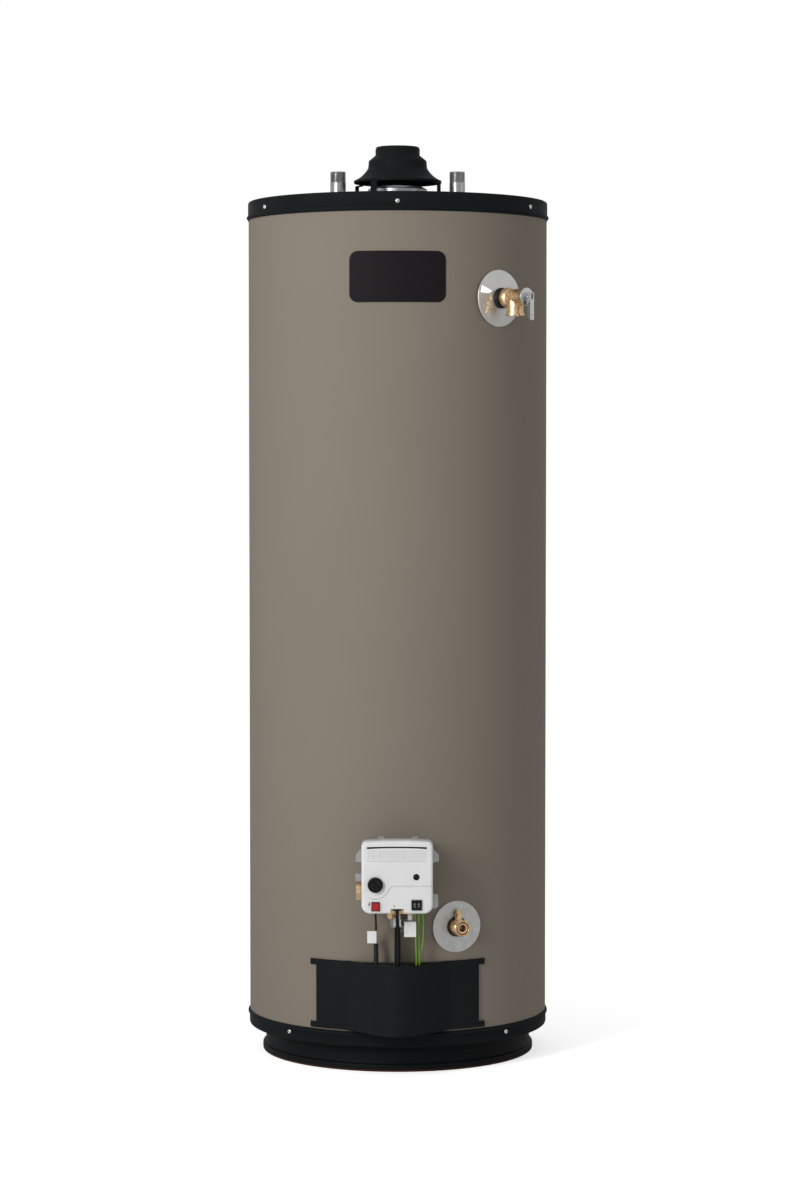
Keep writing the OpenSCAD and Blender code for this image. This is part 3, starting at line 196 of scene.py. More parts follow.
@look
def plated_screw():
    """Bright zinc plate on small screws."""
    return finish("#c4c4c0", "#dcdcd8", 2, (0.22, 0.34), plain=METAL)


@look
def foam():
    """Pale yellow polyurethane foam with open cells."""
    return finish("#d8c48c", "#e6d6a4", 12, (0.85, 0.95), (1.6, 0.5))


@look
def glass_wool():
    """Pink-grey mineral wool, fibrous and soft."""
    return finish("#b9a9a0", "#cfc2b8", 9, (0.9, 1.0), (0.7, 0.6), (1, 1, 4))


@look
def dark_enamel():
    """Dark blue-grey glass lining enamel on the tank's steel."""
    return finish("#262c36", "#303845", 30, (0.25, 0.4), (4, 0.05))


@look
def galvanised_sheet():
    """Zinc spangle: flat crystals a few millimetres wide, each with its own grey."""
    material, tree, shader, place = begin(METAL)
    cell = add(tree, "TexVoronoi", {"Vector": place, "Scale": 1 / (6 * MM)})
    grey = add(tree, "SeparateColor", {"Color": cell.outputs["Color"]}).outputs["Red"]
    colour = blend(tree, grey, linear("#9b9fa1"), linear("#b9bcbd"))
    tree.links.new(colour, shader.inputs["Base Color"])
    tree.links.new(between(tree, grey, 0.34, 0.5, 0, 1), shader.inputs["Roughness"])
    return material


@look
def bare_sheet():
    """Mill steel sheet, grey with rolling streaks."""
    return finish("#75787a", "#8b8e90", 6, (0.35, 0.5), (0.5, 0.01), (1, 1, 0.15), METAL)


@look
def bare_steel():
    """Galvanised pipe, light grey and a little dull, with faint turning marks."""
    return finish("#a9aaa9", "#bcbdbc", 14, (0.3, 0.4), (0.5, 0.004), (0.2, 0.2, 1), METAL)


@look
def pale_plastic():
    """Milky polypropylene."""
    return finish("#dcdcd2", "#e6e6dd", 20, (0.4, 0.5))


@look
def anode_metal():
    """Dull magnesium, mottled grey."""
    return finish("#8f918f", "#a6a8a5", 7, (0.5, 0.65), (1.5, 0.05), plain=METAL)


@look
def black_badge():
    """Dark anodised foil, faintly brushed from side to side."""
    return finish(
        "#1a1619", "#1d191c", 3, (0.55, 0.65), (0.25, 0.003), (0.06, 0.06, 1),
        gloss(0.08),
    )


@look
def bright_plate():
    """Zinc-plated wall plate under clear lacquer: a satin grey with one crisp highlight."""
    return finish(
        "#c6c6c3", "#d2d2cf", 24, (0.46, 0.52),
        plain={"Metallic": 1.0, "Coat Weight": 1.0, "Coat Roughness": 0.02, "Coat IOR": 1.8},
    )


@look
def plate_metal():
    """Satin zinc-plated wall plate with a cloudy mottle."""
    return finish("#bcbcba", "#cdcdcb", 9, (0.34, 0.5), (0.5, 0.004), plain=METAL)


@look
def black_rubber():
    """Black rubber and wire jacket, matt with a fine grain."""
    return finish("#0f1011", "#151617", 8, (0.45, 0.6), (0.5, 0.01), plain=gloss(0.3))


@look
def brass():
    """Forged and turned brass: warm, with darker scale in patches and fine grain."""
    return finish("#d9b489", "#eacca5", 5, (0.26, 0.4), (0.35, 0.008), plain=METAL)


@look
def plated_steel():
    """Nickel-bright plating on the lever, cap and nuts."""
    return finish("#cbcccc", "#d6d7d7", 6, (0.18, 0.24), plain=METAL)


@look
def copper():
    """Copper of the sensing probe, lightly tarnished."""
    return finish("#a8683f", "#c07c50", 6, (0.3, 0.42), plain=METAL)


@look
def chromed_ball():
    """Hard chrome on the drain valve's ball, dulled by water."""
    return finish("#6d675d", "#7a7469", 6, (0.2, 0.3), plain=METAL)


@look
def cast_aluminium():
    """Die-cast aluminium with a fine shot-blasted grain."""
    return finish("#a9aaab", "#b3b4b5", 5, (0.45, 0.52), (0.6, 0.02), plain=METAL)


@look
def white_moulding():
    """White ABS cover, satin with a spark-eroded grain."""
    return finish("#dcdddc", "#e0e1e0", 30, (0.38, 0.46), (0.7, 0.006), plain=gloss(0.4))


@look
def black_gloss():
    """Glossier black plastic of the knob, light and connector."""
    return finish("#090a0a", "#0c0d0d", 6, (0.28, 0.36), (0.5, 0.006), plain=gloss(0.25))


@look
def grey_print():
    """Pale grey ink."""
    return finish("#8e8e8e", "#989898", 4, (0.5, 0.6))


@look
def red_moulding():
    """Signal red button, slightly glossy."""
    return finish("#a3060a", "#ad080d", 5, (0.35, 0.45), (0.5, 0.004))


@look
def aluminium_tube():
    """Drawn aluminium tube, with faint lengthwise drawing marks."""
    return finish("#a9abad", "#c0c2c4", 3, (0.3, 0.42), (0.3, 0.006), (1, 1, 0.1), METAL)


@look
def white_tag():
    """Blank coated paper tag."""
    return finish("#e2e2e0", "#e9e9e7", 8, (0.55, 0.65), (0.4, 0.01))


@look
def black_conduit():
    """Corrugated polyamide conduit."""
    return finish("#0d0e0f", "#121314", 5, (0.38, 0.5), plain=gloss(0.3))


@look
def green_insulation():
    """Bright green wire insulation."""
    return finish("#6aa01c", "#7cb628", 6, (0.38, 0.48))


@look
def clear_glass():
    """Clear sight glass."""
    return finish(
        "#dfe9ea", "#eef4f4", 8, (0.03, 0.06),
        plain={"Transmission Weight": 1.0, "IOR": 1.5},
    )


made_finishes = {}


def coat(look_name):
    """The finish of this name, made once."""
    if look_name not in made_finishes:
        made_finishes[look_name] = FINISHES[look_name]()
        made_finishes[look_name].name = look_name + " finish"
    return made_finishes[look_name]


# ---- geometry helpers ----


def centre(node):
    """Middle of a node's box."""
    low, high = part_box(node)
    return (low + high) / 2


def bearing(node):
    """Angle of a side fitting from the front towards +X."""
    place = centre(node)
    return math.atan2(place.x, -place.y)


JACKET_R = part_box("jacket")[1].x / MM
GAS_Z = centre("gas_valve_cover").z / MM + 0.25
FACING_FRONT = Matrix.Rotation(math.pi / 2, 4, "X")

# The gas control's own frame: x right, y up and z outwards from the jacket
CONTROL_FRAME = Matrix.Translation((0, -JACKET_R * MM, GAS_Z * MM)) @ FACING_FRONT


def side_frame(node):
    """Matrix of a fitting's own frame: x to the right, y up and z outwards from the jacket."""
    out = Matrix.Translation((0, -JACKET_R * MM, centre(node).z))
    return Matrix.Rotation(bearing(node), 4, "Z") @ out @ FACING_FRONT


def spokes(count):
    """Angles of evenly spaced spokes, as one row."""
    return np.linspace(0, 2 * np.pi, count, endpoint=False)[None, :]


def rows_of(*columns):
    """Points or corners from their columns, each of which may be one value for all."""
    return np.stack(np.broadcast_arrays(*columns), axis=-1)


def turned(radius, height, angle):
    """Points at a radius and an angle from x, with the height along z."""
    return rows_of(radius * np.cos(angle), radius * np.sin(angle), height)


def around_axis(radius, angle, height):
    """Points at a radius and a bearing from the front, with the height along z."""
    return rows_of(radius * np.sin(angle), -radius * np.cos(angle), height)


def grid_faces(rows, columns, round_rows=False, round_columns=False):
    """Quads of a grid of points numbered row by row; a round direction meets its own start."""
    row = np.arange(rows if round_rows else rows - 1)[:, None]
    column = np.arange(columns if round_columns else columns - 1)[None, :]
    above = (row + 1) % rows
    beside = (column + 1) % columns
    low, high = row * columns, above * columns
    quads = rows_of(low + column, low + beside, high + beside, high + column)
    return quads.reshape(-1, 4)


def closed_rings(rings, start, end):
    """Rings joined by walls, with a fan from the first and the last ring to a point each."""
    count, sides = rings.shape[:2]
    side = np.arange(sides)
    beside = (side + 1) % sides
    last = (count - 1) * sides
    near = rows_of(beside, side, count * sides)
    far = rows_of(last + side, last + beside, count * sides + 1)
    walls = grid_faces(count, sides, round_columns=True)
    points = np.vstack([rings.reshape(-1, 3), [start], [end]])
    return points, walls.tolist() + near.tolist() + far.tolist()


def lathe(profile, segments=96):
    """A closed profile of (radius, height) pairs turned about the height axis."""
    profile = np.asarray(profile, float)
    points = turned(profile[:, :1], profile[:, 1:], spokes(segments))
    faces = grid_faces(len(profile), segments, round_rows=True, round_columns=True)
    return points.reshape(-1, 3), faces


def threaded_pipe(outer, inner, low, high, thread_low, pitch, depth):
    """A pipe whose outside carries a helical thread from thread_low to its upper end.

    The radius falls below the crest by depth times a triangle wave of height/pitch minus
    angle/turn. The wave fades in over two pitches, and a chamfer ends at the thread's root.
    """
    segments, rings_per_turn, chamfer_length = 96, 8, 1.6
    angle = spokes(segments)
    rings = int((high - thread_low) / pitch * rings_per_turn) + 1
    plain = np.array([low, thread_low - 0.01])
    height = np.concatenate([plain, np.linspace(thread_low, high, rings)])[:, None]
    phase = height / pitch - angle / (2 * np.pi)
    wave = np.abs(2 * (phase - np.floor(phase)) - 1)
    fade = np.clip((height - thread_low) / (2 * pitch), 0, 1)
    chamfer = np.clip(1 - (high - height) / chamfer_length, 0, 1) * depth
    radius = outer - np.maximum(depth * wave * fade, chamfer)
    rim = np.array([[inner + 0.5, high], [inner, high - 0.5], [inner, low]])
    outside, inside = turned(radius, height, angle), turned(rim[:, :1], rim[:, 1:], angle)
    rows = len(height) + len(rim)
    points = np.concatenate([outside, inside]).reshape(-1, 3)
    return points, grid_faces(rows, segments, round_rows=True, round_columns=True)


def cut_sheet(across, up, distance):
    """A flat grid sheet cut along an outline.

    distance(x, y) is negative on the sheet. Cells whose middle is off the sheet are dropped,
    and the points on the cut are moved against the distance's slope until it is zero there.
    """
    x, y = (part.ravel() for part in np.meshgrid(across, up))
    quads = grid_faces(len(up), len(across))
    middle = distance(x[quads].mean(axis=1), y[quads].mean(axis=1))
    kept, dropped = quads[middle < 0], quads[middle >= 0]
    on_cut = np.intersect1d(kept, dropped)
    step = 0.01
    for _ in range(4):
        px, py = x[on_cut], y[on_cut]
        here = distance(px, py)
        slope_x = (distance(px + step, py) - here) / step
        slope_y = (distance(px, py + step) - here) / step
        steep = np.maximum(slope_x**2 + slope_y**2, 0.25)
        x[on_cut] = px - here * slope_x / steep
        y[on_cut] = py - here * slope_y / steep
    used, faces = np.unique(kept, return_inverse=True)
    return x[used], y[used], faces.reshape(-1, 4)


def with_skirt(points, faces, low):
    """The sheet with a wall from each of its open edges down to the same points of `low`."""
    edges = np.concatenate([faces[:, [k, (k + 1) % 4]] for k in range(4)])
    ends = np.sort(edges, axis=1)
    _, first, count = np.unique(ends, axis=0, return_index=True, return_counts=True)
    rim = edges[first[count == 1]]
    used, lower = np.unique(rim, return_inverse=True)
    lower = lower.reshape(-1, 2) + len(points)
    walls = rows_of(rim[:, 1], rim[:, 0], lower[:, 0], lower[:, 1])
    return np.vstack([points, low[used]]), np.vstack([faces, walls])


def rounded_box(x, y, half_w, half_h, radius):
    """Signed distance to a rectangle with rounded corners, negative inside."""
    qx, qy = np.abs(x) - half_w + radius, np.abs(y) - half_h + radius
    outside = np.hypot(np.maximum(qx, 0), np.maximum(qy, 0))
    return np.minimum(np.maximum(qx, qy), 0) + outside - radius


def smooth_step(value, low, high):
    """0 below low, 1 above high and a soft S between them."""
    t = np.clip((value - low) / (high - low), 0, 1)
    return t * t * (3 - 2 * t)


def smooth_route(points, spacing=2.0):
    """A Catmull-Rom curve through the points, sampled about every `spacing` millimetres."""
    points = np.asarray(points, float)
    padded = np.vstack([2 * points[0] - points[1], points, 2 * points[-1] - points[-2]])
    before, start, end, after = padded[:-3], padded[1:-2], padded[2:-1], padded[3:]
    spans = np.linalg.norm(end - start, axis=1)
    steps = max(2, int(np.ceil(spans.max() / spacing)))
    t = (np.arange(steps) / steps)[None, :, None]
    before, start, end, after = (p[:, None, :] for p in (before, start, end, after))
    curve = 0.5 * (
        2 * start
        + (end - before) * t
        + (2 * before - 5 * start + 4 * end - after) * t**2
        + (3 * start - before - 3 * end + after) * t**3
    )
    return np.vstack([curve.reshape(-1, 3), points[-1:]])


def tube(path, radius, sides=16):
    """A closed round tube along a path.

    Each ring lies square to the path, and its first spoke is the x direction with the part
    along the path taken away. The ends are closed by a point on the path.
    """
    path = np.asarray(path, float)
    heading = np.gradient(path, axis=0)
    heading /= np.linalg.norm(heading, axis=1, keepdims=True)
    spoke = np.array([1.0, 0.0, 0.0]) - heading * heading[:, :1]
    spoke /= np.linalg.norm(spoke, axis=1, keepdims=True)
    across = np.cross(heading, spoke)
    angle = spokes(sides)[:, :, None]
    rings = path[:, None, :] + radius * (
        np.cos(angle) * spoke[:, None, :] + np.sin(angle) * across[:, None, :]
    )
    return closed_rings(rings, path[0], path[-1])


# ---- object helpers ----

SAME_POINT = 1e-6  # metres between points that are one
FLAT = 0.2  # degrees between facets that are one face


def put_in_scene(name, data):
    """A new object of some data, in the scene."""
    made = bpy.data.objects.new(name, data)
    bpy.context.scene.collection.objects.link(made)
    return made


def settle(form, name, look_name, bend):
    """An object of a form: outward normals, soft but for edges sharper than `bend` degrees."""
    bmesh.ops.recalc_face_normals(form, faces=form.faces)
    mesh = bpy.data.meshes.new(name)
    form.to_mesh(mesh)
    form.free()
    mesh.shade_smooth()
    mesh.set_sharp_from_angle(angle=math.radians(bend))
    mesh.materials.append(coat(look_name))
    return put_in_scene(name, mesh)


def make(name, lots, look_name, place=None, bend=35, merge=False):
    """One object from lots of (points, faces), moved by `place`, with outward normals."""
    form = bmesh.new()
    for points, faces in lots:
        lot = bpy.data.meshes.new("lot")
        points = np.asarray(points, float) * MM
        lot.from_pydata(points.tolist(), [], [list(face) for face in faces])
        form.from_mesh(lot)
        bpy.data.meshes.remove(lot)
    if place is not None:
        form.transform(place)
    if merge:
        bmesh.ops.remove_doubles(form, verts=form.verts, dist=SAME_POINT)
    return settle(form, name, look_name, bend)


def stand_for(piece, node):
    """The piece moves with its node's body and is shown in its place."""
    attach(piece, BODY_OF[node])
    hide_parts(node)
    return piece


def stand_in(node, name, lots, place=None, bend=35, look_name=None, merge=False):
    """A made piece that stands for a node, in its finish or another one."""
    return stand_for(make(name, lots, look_name or SLOT_OF[node], place, bend, merge), node)


def lie_on(piece, node):
    """The piece moves with a node's body and is shown beside it."""
    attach(piece, BODY_OF[node])


def thicken(piece, wall):
    """A sheet's thickness, laid inwards from its visible face."""
    solid = piece.modifiers.new("wall", "SOLIDIFY")
    solid.thickness = wall * MM
    solid.offset = -1.0


def round_edges(piece, width):
    """A small radius on every edge sharper than 30 degrees."""
    rounding = piece.modifiers.new("edge radius", "BEVEL")
    rounding.width = width * MM
    rounding.segments = 2
    rounding.limit_method = "ANGLE"
    rounding.angle_limit = math.radians(30)
    rounding.harden_normals = True


def dress(node, radius):
    """A node's own form with its facets joined, soft shading and rounded edges."""
    form = bmesh.new()
    form.from_mesh(frame["nodes"][node].data)
    bmesh.ops.remove_doubles(form, verts=form.verts, dist=SAME_POINT)
    bmesh.ops.dissolve_limit(
        form, angle_limit=math.radians(FLAT), verts=form.verts, edges=form.edges
    )
    piece = settle(form, node + "_form", SLOT_OF[node], bend=32)
    if radius:
        round_edges(piece, radius)
    stand_for(piece, node)


def paint_nodes():
    """Give every node its finish, for those that are shown as they are."""
    for node, slot in SLOT_OF.items():
        materials = frame["nodes"][node].data.materials
        materials.clear()
        materials.append(coat(slot))


# ---- pieces ----

# Edge radius in millimetres of each node that keeps its own form
CASING_EDGES = {"top_pan": 0, "bottom_pan": 0, "base_ring": 0.4, "badge": 0.25, "anode_cap": 0.5}
FLUE_EDGES = {"flue_tube": 0, "draft_hood": 0, "hood_legs": 0.25}
RELIEF_EDGES = {
    "tp_body": 0.5, "tp_bonnet": 0.3, "tp_lever": 0.25, "tp_lever_pin": 0.2, "tp_stem": 0.2,
}
DRAIN_EDGES = {"drain_plate": 0, "drain_stem": 0.4, "drain_ball": 0}
CONTROL_EDGES = {
    "gas_valve_body": 0.8, "igniter_button": 0.5, "igniter_housing": 0.3,
    "sensor_connector": 0.4, "gas_inlet": 0.5, "outlet_fittings": 0.4, "flare_nuts": 0.5,
}
LEAD_EDGES = {"ignition_sleeve": 0.3, "wire_tags": 0.1, "lead_conduit": 0}
BURNER_EDGES = {"access_plate": 0.2, "access_screws": 0.3, "sight_glass": 0.3}


def dress_all(edges):
    """Dress each node of a table of edge radii."""
    for node, radius in edges.items():
        dress(node, radius)


def nipple(node):
    """A pipe nipple with a thread cut into its upper end."""
    props = bpy.context.scene.heater_pipes
    low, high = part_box(node)
    middle = centre(node)
    radius = (high.x - low.x) / 2 / MM
    pipe = threaded_pipe(
        radius, radius - props.nipple_wall, low.z / MM, high.z / MM,
        high.z / MM - props.nipple_thread, props.nipple_pitch, props.nipple_depth,
    )
    stand_in(node, node + "_pipe", [pipe], Matrix.Translation((middle.x, middle.y, 0)), 50)


def pan_screw(radius, crown, segments=40, rings=18):
    """A pan head with a cross recess.

    Height is a round crown less a cross: two slots about 1.2 mm wide, 5 mm long and 1.1 mm
    deep, whose flanks slope.
    """
    slot_depth, seat = 1.1, -0.4
    angle = spokes(segments)
    reach = np.linspace(0.02, 1, rings)[:, None] * radius
    x, y = reach * np.cos(angle), reach * np.sin(angle)
    narrow = np.minimum(np.abs(x), np.abs(y))
    wide = np.maximum(np.abs(x), np.abs(y))
    inside = np.clip((0.75 - narrow) / 0.3, 0, 1) * np.clip((2.5 - wide) / 0.5, 0, 1)
    height = crown * (1 - (reach / radius) ** 2) ** 0.5 - slot_depth * inside
    head = np.concatenate([rows_of(x, y, height), turned(radius, seat, angle)])
    return closed_rings(head, [0, 0, height[0, 0]], [0, 0, seat])


def pan_screws(node, bearings, z):
    """The screws round a pan, each seated on the pan's rim."""
    props = bpy.context.scene.heater_casing
    seat = JACKET_R + props.pan_rim
    head = pan_screw(props.screw_radius, props.screw_crown)
    lots = []
    for turn in bearings:
        place = (
            Matrix.Rotation(math.radians(turn), 4, "Z")
            @ Matrix.Translation((0, -seat, z))
            @ FACING_FRONT
            @ Matrix.Rotation(math.radians(17 * turn + 20), 4, "Z")
        )
        moved = np.hstack([head[0], np.ones((len(head[0]), 1))]) @ np.array(place).T
        lots.append((moved[:, :3], head[1]))
    stand_in(node, node + "_heads", lots, bend=40)


def jacket_sheet():
    """The jacket as one rolled sheet, cut out round its fittings and behind the door.

    Arc length runs across the sheet and height runs up it. Each opening is a circle or a
    rectangle on the sheet, and a point's arc length over the radius is its bearing.
    """
    props = bpy.context.scene.heater_casing
    wall, row_pitch, least_pitch, columns = 0.8, 3.3, 0.9, 481
    relief_hole, drain_hole, gas_hole = 20.2, 17.4, 17.2
    low, high = (corner.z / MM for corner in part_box("jacket"))
    around = math.pi * JACKET_R
    holes = [
        (bearing(node) * JACKET_R, centre(node).z / MM, radius)
        for node, radius in (("tp_plate", relief_hole), ("drain_plate", drain_hole))
    ]
    holes.append((0.0, GAS_Z, gas_hole))
    door_low, door_high = props.window_low, props.window_high
    middle, tall = (door_low + door_high) / 2, (door_high - door_low) / 2
    wide = math.asin(props.window_half / JACKET_R) * JACKET_R

    def distance(x, y):
        away = rounded_box(x, y - (low + high) / 2, around + 50, (high - low) / 2, 0.0)
        away = np.maximum(away, -rounded_box(x, y - middle, wide, tall, 0.0))
        for hole_x, hole_z, radius in holes:
            away = np.maximum(away, radius - np.hypot(x - hole_x, y - hole_z))
        return away

    fine = [(door_low - 4, door_high + 4)] + [(z - r - 3, z + r + 3) for _, z, r in holes]
    rows = [np.linspace(low, high, 40)]
    rows += [np.linspace(a, b, int((b - a) / row_pitch) + 1) for a, b in fine]
    rows = np.unique(np.concatenate(rows).round(2))
    rows = rows[np.concatenate([[True], np.diff(rows) > least_pitch])]
    x, y, faces = cut_sheet(np.linspace(-around, around, columns), rows, distance)
    points = around_axis(JACKET_R, x / JACKET_R, y)
    piece = stand_in("jacket", "jacket_sheet", [(points, faces)], bend=60, merge=True)
    thicken(piece, wall)


def back_seam():
    """The jacket's lock seam: a flat fold up the back between the two pans."""
    low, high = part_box("jacket")
    half, rise, inset = 7.0, 1.1, 30 * MM
    angle = np.linspace(-half, half, 13)[None, :] / JACKET_R + math.pi
    lift = np.concatenate([[0], np.full(11, rise), [0]])[None, :]
    height = np.array([low.z + inset, high.z - inset])[:, None] / MM
    outer = around_axis(JACKET_R - 0.2 + lift, angle, height)
    inner = around_axis(JACKET_R - 0.4, angle, height)
    columns = angle.shape[1]
    front = grid_faces(2, columns)
    back = front[:, ::-1] + 2 * columns
    ring = np.concatenate([np.arange(columns), np.arange(2 * columns - 1, columns - 1, -1)])
    after = np.roll(ring, -1)
    walls = rows_of(ring, ring + 2 * columns, after + 2 * columns, after)
    points = np.concatenate([outer, inner]).reshape(-1, 3)
    piece = make("jacket_seam", [(points, np.vstack([front, back, walls]))], "taupe_paint")
    lie_on(piece, "jacket")


def relief_plate():
    """The relief valve's coned wall plate, and the rubber grommet in its middle."""
    place = side_frame("tp_plate")
    inner, rise, slope, wall = 17.2, 5.9, 0.13, 0.7
    cone = [(r, rise - slope * (r - inner)) for r in (inner, 18, 24, 34, 43.8, 44.5)]
    cone += [(45.6, 2.0), (46.6, 1.4), (47, 0.9)]
    under = [(r, max(height - wall, 0.3)) for r, height in cone[::-1]]
    stand_in("tp_plate", "tp_plate_cone", [lathe(cone + under, 160)], place, 50, "bright_plate")
    ring = [
        (13.2, -8), (19.2, -8), (19.2, 4.2), (16.9, 4.6), (16.9, 10.6), (16.4, 11.9),
        (15.4, 12.5), (13.2, 12.5),
    ]
    stand_in("tp_grommet", "tp_grommet_ring", [lathe(ring, 120)], place, 60)


def drain_body():
    """The drain valve's brass body: hose thread, ringed outlet and the stem's boss.

    The neck is turned about the valve's axis and ends in a cone inside the hose thread, and
    the boss is turned about an upright axis.
    """
    place = side_frame("drain_plate")
    hose = threaded_pipe(13.5, 10.4, 13.6, 26, 14.6, 2.2, 1.1)
    core = lathe([
        (6.0, -29.8), (13, -29.8), (13, -5.2), (12.4, -4.6), (12.2, 13.9), (9.2, 23.4),
        (9.0, 24.9), (8.6, 25.4), (6.8, 25.4), (6.0, 24.8),
    ])
    boss, faces = lathe([(3.6, 10), (5.85, 10), (5.85, 21.3), (5.2, 22), (3.6, 22)], 72)
    boss = rows_of(boss[:, 0], boss[:, 2], boss[:, 1] + 8)
    stand_in("drain_body", "drain_valve_body", [hose, core, (boss, faces)], place, 45)


# Routes of the tubes and leads in millimetres, as in the part's source
MANIFOLD = [
    (-0.5, -273, 266), (-0.5, -273, 244), (-0.5, -273, 216), (-0.5, -273, 192),
    (-0.5, -273, 168), (-0.5, -273, 144), (-0.5, -271, 126), (-0.5, -264, 110),
    (-0.5, -250, 100), (-0.5, -232, 98), (-0.4, -208, 98), (-0.2, -184, 98), (0, -160, 98),
    (0, -136, 98), (0, -112, 98), (0, -88, 98), (0, -64, 98), (0, -40, 98), (0, -20, 98),
    (0, -4, 98),
]
PILOT = [
    (20, -276, 267), (20, -276, 257), (18.4, -273, 250), (12, -266, 243), (5, -262, 236),
    (1, -261, 228), (0, -261, 214), (0, -261, 198), (0, -261, 182), (1, -261, 170),
    (5, -261, 158), (12, -260, 147), (18, -256, 137), (21.5, -249, 129), (22.5, -240, 125),
    (23, -226, 124), (24, -208, 124), (25, -190, 124), (26, -172, 124), (26, -154, 124),
    (26, -138, 124), (26, -122, 124),
]
IGNITION = [
    (-35.5, -316, 282), (-35.5, -315, 276), (-35.5, -309, 268), (-35.4, -300, 261),
    (-35.3, -290, 256), (-35.2, -281, 251), (-35.2, -277, 244), (-35.2, -277, 234),
    (-35.2, -277, 224), (-35.2, -277, 212), (-35.2, -277, 200), (-35.2, -277, 188),
    (-35.2, -276, 176), (-35, -272, 164), (-34, -264, 152), (-32, -252, 141),
    (-30, -240, 136), (-30, -230, 135), (-28, -216, 135), (-22, -196, 135),
    (-15, -174, 135), (-8, -154, 135), (0, -136, 135), (6, -122, 135),
]
THERMOPILE = [
    (-0.8, -318, 286), (-0.8, -316, 279), (-0.7, -310, 270), (-0.4, -300, 262),
    (-0.1, -292, 256), (0, -289, 250), (0, -289, 236), (0, -289, 220), (0, -289, 204),
    (0, -289, 186), (0, -289, 172), (4.5, -286, 157), (8.5, -274.5, 141), (8.8, -257, 130.5),
    (8, -240, 128), (8, -226, 128), (9, -206, 128), (11, -184, 128), (12, -160, 128),
    (13, -140, 128), (14, -122, 128),
]
GREEN = [
    [(28.8, -318, 283), (28.8, -316, 276), (28.9, -303, 268), (29, -289, 262),
     (29.2, -287, 254), (29.3, -287, 244), (29.5, -285, 232), (29.8, -282, 220),
     (30.2, -279, 208), (30.7, -276, 194), (30.5, -274, 180), (30, -268, 166),
     (28.8, -250, 153), (28.8, -238, 149), (28.8, -230, 149)],
    [(34.3, -318, 283), (34.3, -316, 276), (34.4, -304, 266), (34.4, -288, 257),
     (34.5, -279, 248), (34.7, -277, 236), (35, -276, 222), (35.4, -275, 208),
     (35.9, -273, 194), (35, -270, 180), (33, -264, 167), (31.4, -250, 153),
     (31.3, -238, 149), (31.3, -230, 149)],
    [(39, -318, 283), (40.2, -315, 276), (41.4, -303, 266), (41.6, -288, 257),
     (41.8, -279, 248), (41.9, -275, 236), (41.2, -274, 222), (38.7, -272, 208),
     (37.8, -270, 196), (37, -266, 184), (34, -260, 172), (31, -250, 160),
     (30, -240, 152.5), (30, -230, 151.6)],
]


# Places and heights in the gas control's frame
KNOB_AT = (-35.8, -12.2)
LIGHT_AT = (30.4, 0.5)
LOWER_FACE, UPPER_FACE = 81, 83
INK = 0.06


def cover_outline(x, y):
    """Distance to the cover's edge: round corners, wider below, and a top edge that slopes."""
    x, y = x + 0.5, y + 0.25
    y = y + 1.2 * np.clip((np.abs(x) - 20) / 28.9, 0, 1) * (y > 0)
    upper = rounded_box(x, y, 57.5, 59.25, 8.6)
    lower = rounded_box(x, y, 57.5, 59.25, 13.4)
    return np.where(y > 0, upper, lower)


def panel_line(x, y):
    """Distance above the line between the two faces.

    It is the nearer of a straight step and a lobe round the knob, with a fillet between.
    """
    knob_x, knob_y = KNOB_AT
    lobe, line, fillet = 22.8, -14.0, 12.0
    drop = knob_y - (line - fillet)
    fillet_x = knob_x + math.sqrt((lobe + fillet) ** 2 - drop**2)
    above = np.maximum(y - line, lobe - np.hypot(x - knob_x, y - knob_y))
    side = (x - knob_x) * (line - fillet - knob_y) - (y - knob_y) * (fillet_x - knob_x)
    in_fillet = (side < 0) & (x < fillet_x) & (x > knob_x) & (y < line + 4)
    hollow = np.hypot(x - fillet_x, y - line + fillet) - fillet
    return np.where(in_fillet, np.maximum(above, np.minimum(hollow, 6)), above)


def control_cover():
    """The gas control's moulded cover with its openings.

    Its face stands at 81 mm, rises 2 mm by a soft S across the panel line, and falls along a
    quarter circle of 4.2 mm at the outline. A raised blank frame follows a rounded rectangle.
    """
    edge, back, lip, wall, frame_rise = 4.2, 43.3, 3, 1.6, 0.35

    def openings(x, y):
        """Distance to the holes of the knob, light, button, connector and lead."""
        cuts = [
            np.hypot(x - KNOB_AT[0], y - KNOB_AT[1]) - 12.6,
            np.hypot(x - LIGHT_AT[0], y - LIGHT_AT[1]) - 5.25,
            rounded_box(x + 35.45, y + 47.65, 6.4, 7.1, 0.4),
            rounded_box(x - 30.95, y + 45.3, 8.45, 8.45, 0.4),
            rounded_box(x + 0.7, y + 58, 10.9, 6.5, 0.4),
        ]
        return np.minimum.reduce(cuts)

    def distance(x, y):
        return np.maximum(cover_outline(x, y), -openings(x, y))

    across, up = np.linspace(-58.2, 57.2, 191), np.linspace(-59.7, 59.2, 197)
    x, y, faces = cut_sheet(across, up, distance)
    inside = np.clip(-cover_outline(x, y), 0, edge)
    fall = edge - np.sqrt(np.maximum(edge**2 - (edge - inside) ** 2, 0))
    frame_line = np.abs(rounded_box(x - 26.8, y + 30, 22.8, 4.6, 4.6))
    raised = frame_rise * smooth_step(-frame_line, -1.0, -0.2)
    rise = (UPPER_FACE - LOWER_FACE) * smooth_step(panel_line(x, y), -2.2, 1.2)
    height = LOWER_FACE + rise + raised - fall
    points = rows_of(x, y, height)
    at_edge = np.abs(cover_outline(x, y)) < np.abs(openings(x, y))
    low = rows_of(x, y, np.where(at_edge, back, height - lip))
    sheet = with_skirt(points, faces, low)
    thicken(stand_in("gas_valve_cover", "control_cover", [sheet], CONTROL_FRAME, 48), wall)


